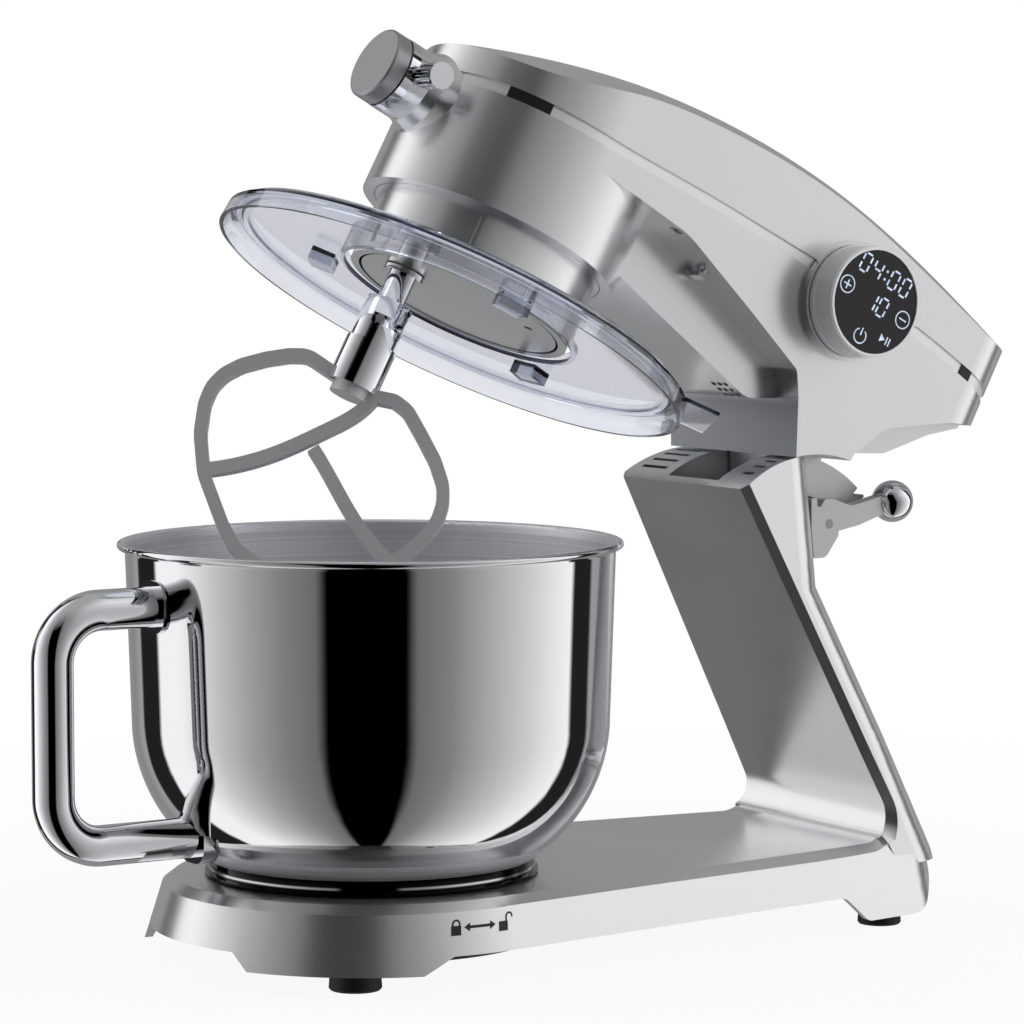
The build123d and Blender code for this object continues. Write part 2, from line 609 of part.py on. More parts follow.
def make_base_plate():
    """Black plate that closes the base from below, with a round dish under the bowl."""
    tail = base_plan(SKIRT_Z, CASTING_WALL + 1.5)
    plate = extrude(Pos(0, 0, PLATE_Z - SKIRT_Z) * tail, amount=PLATE_T)
    plate &= side_slab(stand_side(CASTING_WALL + 1.5), -BIG, BIG)
    plate += rod(base_r(SKIRT_Z) - CASTING_WALL - 1.5, PLATE_Z, PLATE_Z + PLATE_T)
    plate += rod(DISH_R, PLATE_Z - DISH_DROP, PLATE_Z)
    plate -= rod(DISH_R - 3, PLATE_Z - 1, PLATE_Z + PLATE_T + 1)
    plate += rod(DISH_R - 2, PLATE_Z - DISH_DROP, PLATE_Z + 0.5)
    for x, y in plate_screw_places():
        plate -= rod(1.7, 0, 40, x, y)
    for x, y in foot_places().values():
        if x < 0:
            plate += rod(FOOT_FRONT_R + 2.5, PLATE_Z, PLATE_Z + PLATE_T, x, y)
            plate -= rod(FOOT_FRONT_R + 0.6, 0, PLATE_Z, x, y)
        plate -= rod(FOOT_SCREW_R + 0.3, 0, 40, x, y)
    for index in range(7):
        plate -= block((150 + 8 * index, 153 + 8 * index), (-22, 22), (0, 40))
    return plate


def make_plate_screws():
    return [Pos(x, y, PLATE_Z) * Rot(180, 0, 0) * screw(3.2, 1.8, 1.45, 13)
            for x, y in plate_screw_places()]


def make_foot(x, y, radius):
    """Rubber foot: a low cone with a recess for its screw."""
    foot = turned([(0, 0), (radius - 0.8, 0), (radius, 1.0), (radius - 1.2, PLATE_Z), (0, PLATE_Z)])
    foot -= rod(4.2, -1, 4)
    foot -= rod(FOOT_SCREW_R + 0.2, 0, PLATE_Z + 1)
    return Pos(x, y, 0) * foot


def make_foot_screws():
    return [Pos(x, y, 4) * Rot(180, 0, 0) * screw(3.8, 2.0, FOOT_SCREW_R - 0.05, 25)
            for x, y in foot_places().values()]


def ring_part(r_in, r_out, low, high, start, end):
    """Part of a flat ring between two angles."""
    ring = rod(r_out, low, high) - rod(r_in, low - 1, high + 1)
    wedge_r = r_out * 2
    count = max(1, int(ceil((end - start) / 60)))
    step = radians((end - start) / count)
    arc = [(wedge_r * cos(radians(start) + step * k), wedge_r * sin(radians(start) + step * k))
           for k in range(count + 1)]
    wedge = make_face(Polyline((0, 0), *arc, close=True))
    return ring & (Pos(0, 0, low - 1) * extrude(wedge, amount=high - low + 2))


def make_bowl_seat():
    """Boss on the base with three lugs that lock the bowl's foot."""
    seat = rod(SEAT_R, BASE_TOP_Z, BOWL_FLOOR_Z - 1.2) - rod(SEAT_R - 12, BASE_TOP_Z + 2, 60)
    for centre in SEAT_LUG_ANGLES:
        seat += ring_part(SEAT_R - 3, SEAT_LUG_R, BASE_TOP_Z + 2.4, BOWL_FLOOR_Z - 1.2,
                          centre - SEAT_LUG_HALF, centre + SEAT_LUG_HALF)
    return seat


def bowl_wall(inset):
    """Filled bowl: the inside of its skin for an inset of one wall, the outside for none."""
    r = BOWL_TURN_R - inset
    centre = (BOWL_BEND_R - BOWL_TURN_R, BOWL_BEND_Z)
    floor = BOWL_FLOOR_Z + inset
    drop = asin((BOWL_BEND_Z - floor) / r)
    start = (centre[0] + r * cos(drop), floor)
    top = RIM_Z + (2 if inset else 0)
    profile = [Line((0, floor), start), CenterArc(centre, r, -degrees(drop), degrees(drop)),
               Line((BOWL_BEND_R - inset, BOWL_BEND_Z), (BOWL_TOP_R - inset, RIM_Z - 3)),
               Line((BOWL_TOP_R - inset, RIM_Z - 3), (BOWL_TOP_R + 0.6 - inset, top)),
               Line((BOWL_TOP_R + 0.6 - inset, top), (0, top)), Line((0, top), (0, floor))]
    return revolve(Plane.XZ * make_face(profile), axis=Axis.Z)


def make_bowl():
    rim = revolve(Plane.XZ * (Pos(RIM_R, RIM_Z) * Circle(RIM_BEAD_R)), axis=Axis.Z)
    skin = bowl_wall(0) - bowl_wall(BOWL_WALL)
    return skin + (rim - bowl_wall(BOWL_WALL))


def make_bowl_foot():
    """Foot ring with three tabs that slide under the lugs of the seat."""
    inner_r = BOWL_FOOT_R - BOWL_FOOT_WALL
    foot = turned([(inner_r, BOWL_FOOT_Z), (BOWL_FOOT_R, BOWL_FOOT_Z),
                   (BOWL_FOOT_R, BOWL_FOOT_TOP_Z), (inner_r, BOWL_FOOT_TOP_Z)])
    foot += turned([(BOWL_FOOT_R, BOWL_FOOT_Z), (BOWL_FOOT_R + 1.6, BOWL_FOOT_Z + 0.6),
                    (BOWL_FOOT_R + 1.6, BOWL_FOOT_Z + 1.8), (BOWL_FOOT_R, BOWL_FOOT_Z + 2.2)])
    for centre in SEAT_LUG_ANGLES:
        foot += ring_part(SEAT_R + 0.6, BOWL_FOOT_R - 1, BOWL_FOOT_Z, BASE_TOP_Z + 2.1,
                          centre - SEAT_LUG_HALF, centre + SEAT_LUG_HALF)
    return foot - bowl_wall(0)


def make_bowl_handle():
    """Bent tube handle with flattened ends welded to the bowl."""
    top_r = BOWL_TOP_R - (RIM_Z - 3 - HANDLE_TOP_Z) * (BOWL_TOP_R - BOWL_BEND_R) / (RIM_Z - 3 - BOWL_BEND_Z)
    low_r = BOWL_BEND_R - BOWL_TURN_R + sqrt(BOWL_TURN_R ** 2 - (BOWL_BEND_Z - HANDLE_LOW_Z) ** 2)
    route = Plane.XZ * FilletPolyline(
        (-top_r + 3, HANDLE_TOP_Z), (HANDLE_REACH_X, HANDLE_TOP_Z), (HANDLE_REACH_X, HANDLE_LOW_Z),
        (-low_r + 6, HANDLE_LOW_Z), radius=HANDLE_BEND_R)
    start = Plane(origin=route @ 0, x_dir=(0, 1, 0), z_dir=route % 0)
    section = RectangleRounded(HANDLE_WIDE, HANDLE_THICK, HANDLE_THICK / 2 - 0.3)
    tube = sweep(start * section, path=route)
    for z, r in ((HANDLE_TOP_Z, top_r), (HANDLE_LOW_Z, low_r)):
        pad = Pos(-r - 1.0, 0, z) * Rot(0, 90, 0) * extrude(
            RectangleRounded(HANDLE_THICK + HANDLE_PAD, HANDLE_WIDE + HANDLE_PAD, 9), amount=8)
        tube += pad
    return tube - bowl_wall(0)


def make_pivot_pin():
    reach = LUG_SIDE_GAP + CHEEK_T + CHEEK_BOSS
    return rod_y(PIVOT_PIN_R, LUG_Y_LOW - reach, LUG_Y_HIGH + reach, PIVOT_X, PIVOT_Z)


# ---- Release lever -------------------------------------------------------------------
def make_lever_bracket():
    """Two ears on a pad behind the column's top."""
    half = LEVER_T / 2 + LEVER_SIDE_GAP
    pad = block((COLUMN_REAR_X, COLUMN_REAR_X + 3.5),
                (LEVER_Y - half - LEVER_EAR_T, LEVER_Y + half + LEVER_EAR_T), (BRACKET_LOW_Z, 216))
    ear = side_slab(outline([(COLUMN_REAR_X, BRACKET_LOW_Z, 0), (LEVER_X - 2, BRACKET_LOW_Z, 5),
                             (LEVER_X + 6, LEVER_Z - 6, 4), (LEVER_X + 6, LEVER_Z + 6, 4),
                             (COLUMN_REAR_X, LEVER_Z + 10, 0)]), 0, LEVER_EAR_T)
    bracket = pad + Pos(0, LEVER_Y - half - LEVER_EAR_T, 0) * ear + Pos(0, LEVER_Y + half, 0) * ear
    bracket -= side_slab(stand_side(0), -BIG, BIG)
    return bracket - rod_y(LEVER_PIN_R, -BIG, BIG, LEVER_X, LEVER_Z)


def make_lever_pin():
    half = LEVER_T / 2 + LEVER_SIDE_GAP + LEVER_EAR_T
    return rod_y(LEVER_PIN_R, LEVER_Y - half, LEVER_Y + half, LEVER_X, LEVER_Z)


def make_release_lever():
    """Arm from the pin to the ball, with a short nose that points at the hinge lug."""
    arm = outline([(LEVER_X - 5, LEVER_Z - 4, 3), (LEVER_X + 3, LEVER_Z - 5.5, 3),
                   (LEVER_X + 22, LEVER_Z - 2, 5), (LEVER_BALL_X - 4, LEVER_BALL_Z - 4.5, 2),
                   (LEVER_BALL_X - 4, LEVER_BALL_Z + 4.5, 2), (LEVER_X + 18, LEVER_Z + 8, 5),
                   (LEVER_X + 6, LEVER_Z + 12, 2), (LEVER_X + 1, LEVER_Z + 12, 2),
                   (LEVER_X - 5, LEVER_Z + 4, 3)])
    lever = side_slab(arm, LEVER_Y - LEVER_T / 2, LEVER_Y + LEVER_T / 2)
    lever -= rod_y(LEVER_PIN_R + RUNNING_GAP, -BIG, BIG, LEVER_X, LEVER_Z)
    stud = Pos(LEVER_BALL_X, LEVER_Y, LEVER_BALL_Z) * Sphere(LEVER_BALL_R)
    return lever - stud


def make_lever_knob():
    return Pos(LEVER_BALL_X, LEVER_Y, LEVER_BALL_Z) * Sphere(LEVER_BALL_R)


# ---- Head shells ---------------------------------------------------------------------
def band_line(rise):
    """Middle line of the light band, moved up or down, as a side view curve."""
    points = [(-130, -1), (-66, 1.3), (0, 0), (57, 4), (131, 8), (210, 10), (259, 6.8), (330, -3)]
    return Spline(*[(x, BAND_Z + z + rise) for x, z in points])


def above_band(rise):
    """Everything above the band's line, as a slab across the head."""
    line = band_line(rise)
    corners = Polyline(line @ 1, (330, 2 * BIG), (-130, 2 * BIG), line @ 0)
    return side_slab(make_face([line, corners]), -BIG, BIG)


def head_shell():
    return head_form(0) - head_form(HEAD_WALL)


def display_frame(reach):
    """Frame on the display's axis, a distance outside the head's side, Z pointing out."""
    side_y = -head_half(DISPLAY_X)
    return Pos(DISPLAY_X, side_y - reach, DISPLAY_Z) * Rot(90, 0, 0)


def cover_screw_places():
    """Axes of the four screws that hold the cover on the casting."""
    return [(x, side * (head_half(x) - HEAD_WALL - 3)) for x, side in COVER_SCREWS]


def post_z():
    """Height at which the cover's posts stand on the casting's posts."""
    return BAND_Z + 16.5


def make_head_cover():
    cover = (head_shell() & above_band(BAND_HEIGHT / 2)) - hub_nose(0)
    cover -= display_frame(-20) * rod(DISPLAY_WIRE_R, 0, 60)
    for x, y in cover_screw_places():
        post = rod(POST_R, post_z(), post_z() + 11, x, y) & head_form(HEAD_WALL)
        cover += post - rod(1.4, post_z() - 1, post_z() + 10, x, y)
    return cover


def make_trim_band():
    """Light band set back a little between the cover and the casting."""
    ring = head_form(BAND_RECESS) - head_form(HEAD_WALL)
    band = (ring & above_band(-BAND_HEIGHT / 2)) - above_band(BAND_HEIGHT / 2)
    band -= display_frame(-20) * rod(DISPLAY_WIRE_R, 0, 60)
    band -= hub_nose(0)
    recess = head_form(0) - head_form(BAND_RECESS + INLAY_T)
    for low, high in BAND_INLAYS:
        for side in (-1, 1):
            band -= recess & block((low, high), sorted((side * 20, side * BIG)), (0, BIG))
    return band


def make_band_inlays():
    """Dark pieces that fill the band's four recesses."""
    ring = head_form(BAND_RECESS / 2) - head_form(BAND_RECESS + INLAY_T)
    band = (ring & above_band(-BAND_HEIGHT / 2)) - above_band(BAND_HEIGHT / 2)
    return [band & block((low, high), sorted((side * 20, side * BIG)), (0, BIG))
            for low, high in BAND_INLAYS for side in (-1, 1)]


def hub_nose(inset):
    """Round nose of the hub, flared where it meets the head."""
    nose = rod_x(HUB_R - inset, HUB_FACE_X + 5, -40, 0, HUB_Z)
    flare = Plane.XZ * make_face(Polyline(
        (-50, HUB_Z), (-50, HUB_Z + HUB_R + 12 - inset), (-61, HUB_Z + HUB_R + 7 - inset),
        (-67, HUB_Z + HUB_R + 2 - inset), (-73, HUB_Z + HUB_R - inset), (-73, HUB_Z), close=True))
    flare = revolve(flare, axis=Axis((0, 0, HUB_Z), (1, 0, 0)))
    return nose + (flare - rod(40, 0, BIG))


def make_head_casting():
    """Lower half of the head: neck, belly, gear housing and nose hub in one casting."""
    casting = head_shell() - above_band(-BAND_HEIGHT / 2)
    inside = rod(HEAD_FRONT_R - 1, FLOOR_Z, FLOOR_Z + FLOOR_T)
    casting += inside
    casting += rod(CARRIER_BUSH_R + 3, FLOOR_Z - 3, FLOOR_Z + 9)
    casting += (hub_nose(0) - above_band(40)) - rod(HEAD_FRONT_R - HEAD_WALL, HOUSING_Z, BIG)
    casting -= rod(CARRIER_BUSH_R, 0, BIG)
    casting -= rod_x(HUB_BORE_R, -BIG, HUB_SEAT_X, 0, HUB_Z)
    casting -= rod_x(HUB_BUSH_R, -BIG, -40, 0, HUB_Z)
    # Seat of the planet housing and the ring gear.
    casting -= rod(RING_OUT_R, HOUSING_Z - 5, FLOOR_Z)
    # Thumb screw's thread in the hub's wall.
    casting -= rod_y(THUMB_SHANK_R + RUNNING_GAP, -40, 0, THUMB_X, HUB_Z + THUMB_RISE)
    casting += lug_pads()
    for x, z in lug_bolt_places():
        casting -= rod_y(LUG_BOLT_R, -40, 30, x, z)
    for x, y in cover_screw_places():
        casting += rod(POST_R, COVER_SCREW_Z - 4, post_z() - 0.75, x, y) & head_form(HEAD_WALL)
        casting -= rod(1.7, HOUSING_Z, BIG, x, y)
        casting -= rod(3.4, HOUSING_Z, COVER_SCREW_Z, x, y)
    # Vents through the belly, and a small hook beside it.
    for y in (-34, -29, -24, 20, 25, 30):
        for index in range(5):
            x = VENT_X + index * VENT_PITCH
            casting -= block((x, x + VENT_WIDTH), (y, y + 3.5), (HOUSING_Z - 19, HOUSING_Z + 3))
    hook_z = HOUSING_Z + 30
    casting += rod(2.4, hook_z, hook_z + 10, 91, -46) + Pos(91, -44.5, hook_z) * Box(4.8, 8, 2.4)
    # Opening of the neck for the hinge lug.
    casting -= side_slab(lug_side(NECK_SLOT), LUG_Y_LOW - 0.02, LUG_Y_HIGH + 0.02)
    casting -= display_frame(-20) * rod(DISPLAY_WIRE_R, 0, 60)
    return casting


def sector(r_in, r_out, start, end):
    """Side view of a ring's part about the pivot, angles from the vertical, rearwards."""
    middle = Pos(PIVOT_X, PIVOT_Z)
    steps = 8
    far = 2 * r_out
    rays = [radians(start + (end - start) * k / steps) for k in range(steps + 1)]
    fan = make_face(Polyline((0, 0), *[(far * sin(a), far * cos(a)) for a in rays], close=True))
    return middle * ((Circle(r_out) - Circle(r_in)) & fan)


def lug_side(gap):
    """Side view of the hinge lug: a round sector, a web and a hub on the pin."""
    return sector(LUG_IN_R - gap, LUG_TOP_R + gap, -27.5 - gap / 2, -7 + gap)


def lug_pads():
    """Solid pads inside the neck on both sides of the hinge lug."""
    region = sector(BARREL_R + NECK_GAP + 0.4 + HEAD_WALL - 0.5, LUG_TOP_R, -26, -8)
    pads = side_slab(region, LUG_Y_LOW - LUG_PAD, LUG_Y_LOW)
    return pads + side_slab(region, LUG_Y_HIGH, LUG_Y_HIGH + LUG_PAD)


def make_hinge_lug():
    front = 6.4 / cos(radians(COLUMN_LEAN))
    behind = make_face(Polyline((column_front_x(120) + front, 120), (column_front_x(300) + front, 300),
                                (400, 300), (400, 120), close=True))
    side = sector(LUG_IN_R, BARREL_R, LUG_FROM, LUG_TO)
    side += sector(PIVOT_BUSH_R + 1, LUG_IN_R + 2, -26, -12) + sector(PIVOT_BUSH_R + 1, LUG_IN_R + 2, 2, 16)
    side += sector(BARREL_R - 2, LUG_TOP_R, -27, -7.5)
    notch = sector(BARREL_R - 5, BARREL_R + 5, LUG_TO - 5, LUG_TO - 1)
    side = ((side & behind) - notch) + Pos(PIVOT_X, PIVOT_Z) * Circle(LUG_HUB_R)
    lug = side_slab(side, LUG_Y_LOW, LUG_Y_HIGH)
    lug -= rod_y(PIVOT_BUSH_R, -BIG, BIG, PIVOT_X, PIVOT_Z)
    for x, z in lug_bolt_places():
        lug -= rod_y(LUG_BOLT_R, -BIG, BIG, x, z)
    return lug


def lug_bolt_places():
    """Axes of the two bolts that hold the lug between the neck's pads."""
    middle_r = (BARREL_R + NECK_GAP + 0.4 + HEAD_WALL + LUG_TOP_R) / 2
    return [(PIVOT_X + middle_r * sin(radians(a)), PIVOT_Z + middle_r * cos(radians(a)))
            for a in (-21.5, -12.5)]


def make_lug_bolts():
    """Two bolts across the neck's pads, each with a head and a nut."""
    bolts = []
    for x, z in lug_bolt_places():
        bolt = rod_y(LUG_BOLT_R, LUG_Y_LOW - LUG_PAD - 3, LUG_Y_HIGH + LUG_PAD + 3, x, z)
        bolt += rod_y(LUG_BOLT_R + 1.4, LUG_Y_LOW - LUG_PAD - 3, LUG_Y_LOW - LUG_PAD, x, z)
        bolt += rod_y(LUG_BOLT_R + 1.4, LUG_Y_HIGH + LUG_PAD, LUG_Y_HIGH + LUG_PAD + 3, x, z)
        bolts.append(bolt)
    return bolts


def make_pivot_bush(y_low, y_high):
    return (rod_y(PIVOT_BUSH_R, y_low, y_high, PIVOT_X, PIVOT_Z)
            - rod_y(PIVOT_PIN_R + RUNNING_GAP, -BIG, BIG, PIVOT_X, PIVOT_Z))


def make_planet_housing():
    """Fixed round housing around the planet carrier, with one upright slit."""
    housing = rod(PLANET_R, PLANET_Z, HOUSING_Z) - rod(PLANET_R - 3, 0, BIG)
    flange = rod(GUARD_HOOK_R, HOUSING_Z, HOUSING_Z + 1.4) - rod(PLANET_R - 5, 0, BIG)
    lip = rod(PLANET_R - 1, PLANET_Z, PLANET_Z + 2) - rod(PLANET_R - 4.2, 0, BIG)
    housing += flange + lip
    slit = Rot(0, 0, 235) * block((PLANET_R - 1.4, PLANET_R + 3), (-1.2, 1.2), (PLANET_Z + 3, HOUSING_Z - 3))
    for centre in GUARD_LUG_ANGLES:
        housing += ring_part(PLANET_R - 1, GUARD_HOOK_R, GUARD_HOOK_Z + 2.0, GUARD_HOOK_Z + 4.4,
                             centre - 7, centre + 7)
    return housing - slit


def make_ring_gear():
    """Internal gear around the planet pinion."""
    pitch_r = RING_TEETH * GEAR_MODULE / 2
    tip = GEAR_MODULE * 0.75
    root = GEAR_MODULE * 1.15
    half = pi * GEAR_MODULE / 4 - 0.35
    tooth = make_face(Polyline(
        (pitch_r + root + 0.5, -half - root * 0.4), (pitch_r - tip, -half + tip * 0.4),
        (pitch_r - tip, half - tip * 0.4), (pitch_r + root + 0.5, half + root * 0.4), close=True))
    ring = Circle(RING_OUT_R) - Circle(pitch_r + root)
    step = 360 / RING_TEETH
    teeth = [Rot(0, 0, step * (k + 0.5)) * tooth for k in range(RING_TEETH)]
    face = ring + teeth
    return Pos(0, 0, HOUSING_Z + 1.4) * extrude(face, amount=FLOOR_Z - HOUSING_Z - 1.4)


# ---- Drive ---------------------------------------------------------------------------
def crown_pitch_z():
    return HUB_Z - DRIVE_TEETH * DRIVE_MODULE / 2


def make_gear_frame():
    """Bridge over the crown gear with the inner bearings of both level shafts."""
    reach = BRIDGE_REACH
    frame = block((-reach, reach), (-BRIDGE_HALF, BRIDGE_HALF), (BRIDGE_Z, BRIDGE_Z + BRIDGE_T))
    for side in (-1, 1):
        leg_x = sorted((side * reach, side * (reach - BRIDGE_LEG)))
        frame += block(leg_x, (-BRIDGE_HALF, BRIDGE_HALF), (FLOOR_Z + FLOOR_T, BRIDGE_Z + 1))
        foot_x = sorted((side * reach, side * (reach - BRIDGE_LEG - 5)))
        frame += block(foot_x, (-BRIDGE_HALF, BRIDGE_HALF), (FLOOR_Z + FLOOR_T, FLOOR_Z + FLOOR_T + 4))
        boss_x = sorted((side * reach, side * (reach - BRIDGE_LEG - 2)))
        frame += rod_x(11, boss_x[0], boss_x[1], 0, HUB_Z)
    frame += rod(CARRIER_BUSH_R + 3, BRIDGE_Z - 9, BRIDGE_Z + BRIDGE_T)
    frame -= rod(CARRIER_BUSH_R, 0, BIG)
    frame -= rod_x(MOTOR_SHAFT_R + RUNNING_GAP, -BIG, BIG, 0, HUB_Z)
    return frame


def make_carrier_bush_low():
    return rod(CARRIER_BUSH_R, FLOOR_Z - 3, FLOOR_Z + 9) - rod(SHAFT_R + RUNNING_GAP, 0, BIG)


def make_carrier_bush_top():
    return rod(CARRIER_BUSH_R, BRIDGE_Z - 9, BRIDGE_Z + BRIDGE_T) - rod(SHAFT_R + RUNNING_GAP, 0, BIG)


def tie_rod_places():
    """Axes of the motor's four tie rods, half sunk in the stator's rim."""
    reach = (MOTOR_R + 0.5) * sqrt(0.5)
    return [(y * reach, HUB_Z + z * reach) for y in (-1, 1) for z in (-1, 1)]


def make_motor_mount():
    """Two plates and four tie rods that hold the motor, with a foot on each side."""
    mount = None
    ear_half = HEAD_FRONT_R
    for x in (MOUNT_X, PLATE_REAR_X):
        plate = rod_x(MOTOR_R + 4, x, x + MOUNT_T, 0, HUB_Z) + rod_x(13, x - 4, x + MOUNT_T, 0, HUB_Z)
        plate += block((x, x + MOUNT_T), (-ear_half, ear_half), (HUB_Z - 6, HUB_Z + 6))
        plate &= head_form(HEAD_WALL)
        mount = plate if mount is None else mount + plate
    for y, z in tie_rod_places():
        mount += rod_x(TIE_R, MOUNT_X + 1, PLATE_REAR_X + 1, y, z)
    mount -= rod_x(MOTOR_SHAFT_R + BUSH_T, -BIG, BIG, 0, HUB_Z)
    return mount


def make_motor_stator():
    """Laminated ring with its windings, held by the four tie rods."""
    stator = rod_x(MOTOR_R, MOTOR_FROM, MOTOR_TO, 0, HUB_Z)
    for end in (MOTOR_FROM - 9, MOTOR_TO):
        stator += rod_x(MOTOR_R - 5, end, end + 9, 0, HUB_Z)
    stator -= rod_x(MOTOR_BORE_R, -BIG, BIG, 0, HUB_Z)
    for y, z in tie_rod_places():
        stator -= rod_x(TIE_R, MOUNT_X, PLATE_REAR_X + 1, y, z)
    return stator


def make_motor_bush(x):
    return (rod_x(MOTOR_SHAFT_R + BUSH_T, x - 4, x + MOUNT_T, 0, HUB_Z)
            - rod_x(MOTOR_SHAFT_R + RUNNING_GAP, -BIG, BIG, 0, HUB_Z))


def make_motor_armature():
    """Shaft, slotted core and commutator."""
    armature = rod_x(MOTOR_SHAFT_R, PINION_IN, MOTOR_SHAFT_END, 0, HUB_Z)
    core = rod_x(MOTOR_BORE_R - MOTOR_GAP, MOTOR_FROM + 2, MOTOR_TO - 2, 0, HUB_Z)
    for index in range(12):
        slot = block((0, BIG), (-1.2, 1.2), (18.0, 30))
        core -= Pos(0, 0, HUB_Z) * Rot(30 * index, 0, 0) * slot
    armature += core + rod_x(15, MOTOR_FROM - 6, MOTOR_TO + 4, 0, HUB_Z)
    return armature + rod_x(10, MOTOR_TO + 3, MOTOR_TO + 13, 0, HUB_Z)


def make_motor_fan():
    """Cooling fan on the motor's front, between the stator and the mount."""
    fan = rod_x(8.5, 156.5, 162, 0, HUB_Z) + rod_x(20, 157, 158.5, 0, HUB_Z)
    for index in range(9):
        blade = block((157.5, 162), (-0.8, 0.8), (7.5, 29))
        fan += Pos(0, 0, HUB_Z) * Rot(40 * index, 0, 0) * blade
    return fan - rod_x(MOTOR_SHAFT_R, -BIG, BIG, 0, HUB_Z)


def level_gear(x):
    """Drive pinion on one of the level shafts, its inner face at x."""
    turn = Pos(x, 0, HUB_Z) * Rot(0, 90, 0)
    return turn * gear(DRIVE_TEETH, DRIVE_MODULE, PINION_FACE, MOTOR_SHAFT_R)


def make_drive_pinion():
    return level_gear(PINION_IN)


def make_hub_pinion():
    return level_gear(-PINION_IN - PINION_FACE)


def make_crown_gear():
    """Crown gear on the carrier's shaft; both drive pinions run on its teeth."""
    pitch_r = CROWN_TEETH * DRIVE_MODULE / 2
    pitch_z = crown_pitch_z()
    face_low = pitch_z - 1.35
    wheel = rod(pitch_r + 4, face_low - 8, face_low) - rod(pitch_r - 8, face_low - 4, BIG)
    wheel += rod(SHAFT_R + 6, face_low - 8, face_low + 2)
    half = pi * DRIVE_MODULE / 4 - 0.3
    tooth = Plane.YZ * make_face(Polyline(
        (-half - 0.45, face_low - 0.5), (-half + 0.35, pitch_z + 0.9), (half - 0.35, pitch_z + 0.9),
        (half + 0.45, face_low - 0.5), close=True))
    tooth = Pos(pitch_r - 3, 0, 0) * extrude(tooth, amount=6.5)
    step = 360 / CROWN_TEETH
    wheel = wheel.fuse(*[Rot(0, 0, step * (k + 0.5)) * tooth for k in range(CROWN_TEETH)])
    return wheel - rod(SHAFT_R, 0, BIG)


def make_planet_carrier():
    """Carrier: a disc at the bottom, a boss for the beater's shaft and an upright shaft."""
    disc_r = PLANET_R - 5.5
    low = PLANET_Z + 0.3
    carrier = rod(disc_r, low, low + 4.5)
    boss = SHAFT_R + 6
    top = HOUSING_Z - 1.2
    carrier += rod(boss, low, top, -SHAFT_OFFSET) + rod(boss, low, top)
    carrier += block((-SHAFT_OFFSET, 0), (-9, 9), (low, top - 8))
    weight = block((15, BIG), (-24, 24), (low, low + 19)) & rod(disc_r - 2, low, BIG)
    carrier += weight
    carrier += rod(SHAFT_R, low, BRIDGE_Z + BRIDGE_T - 1)
    bush_r = OUTPUT_SHAFT_R + OUTPUT_BUSH_T
    carrier -= rod(bush_r, low - 1, low + OUTPUT_BUSH_LENGTH, -SHAFT_OFFSET)
    carrier -= rod(bush_r, top - OUTPUT_BUSH_LENGTH, top + 1, -SHAFT_OFFSET)
    carrier -= rod(OUTPUT_SHAFT_R + 1, low - 1, top + 1, -SHAFT_OFFSET)
    carrier -= rod(2.2, low - 1, low + 3, 24, -30)
    return carrier


def make_output_bush(low):
    return (rod(OUTPUT_SHAFT_R + OUTPUT_BUSH_T, low, low + OUTPUT_BUSH_LENGTH, -SHAFT_OFFSET)
            - rod(OUTPUT_SHAFT_R + RUNNING_GAP, 0, BIG, -SHAFT_OFFSET))


def make_output_shaft():
    shaft = rod(OUTPUT_SHAFT_R, SLEEVE_LOW_Z + 17, GEAR_Z + GEAR_FACE, -SHAFT_OFFSET)
    shaft += rod(OUTPUT_SHAFT_R + 3.5, PLANET_Z - 3.0, PLANET_Z - 0.3, -SHAFT_OFFSET)
    return shaft - beater_turn() * rod_y(BEATER_PIN_R, -20, 20, 0, BEATER_PIN_Z)


def beater_turn():
    return Pos(-SHAFT_OFFSET, 0, 0) * Rot(0, 0, BEATER_TURN)


def make_beater_pin():
    reach = SLEEVE_TOP_R + 1.2
    return beater_turn() * rod_y(BEATER_PIN_R, -reach, reach, 0, BEATER_PIN_Z)


def make_planet_pinion():
    wheel = gear(PINION_TEETH, GEAR_MODULE, GEAR_FACE, OUTPUT_SHAFT_R, 0.35)
    return Pos(-SHAFT_OFFSET, 0, GEAR_Z) * wheel


# ---- Beater --------------------------------------------------------------------------
def make_beater_sleeve():
    """Chrome sleeve with two bayonet slots for the shaft's cross pin."""
    sleeve = rod(SLEEVE_LOW_R, SLEEVE_LOW_Z, SLEEVE_STEP_Z)
    sleeve += rod(SLEEVE_TOP_R, SLEEVE_STEP_Z, SLEEVE_TOP_Z)
    sleeve -= rod(OUTPUT_SHAFT_R + RUNNING_GAP + 0.03, SLEEVE_LOW_Z + 15, SLEEVE_TOP_Z + 1)
    sleeve -= rod(BEATER_CORE_R, SLEEVE_LOW_Z - 1, SLEEVE_LOW_Z + 12)
    slot = BEATER_PIN_R + 0.3
    for side in (-90, 90):
        run = ring_part(5, 30, BEATER_PIN_Z - slot, BEATER_PIN_Z + slot,
                        side - 20, side + BEATER_TWIST + 20)
        entry = Rot(0, 0, side + BEATER_TWIST) * block((4, 30), (-slot, slot), (BEATER_PIN_Z, BIG))
        sleeve -= run + entry
    return beater_turn() * sleeve


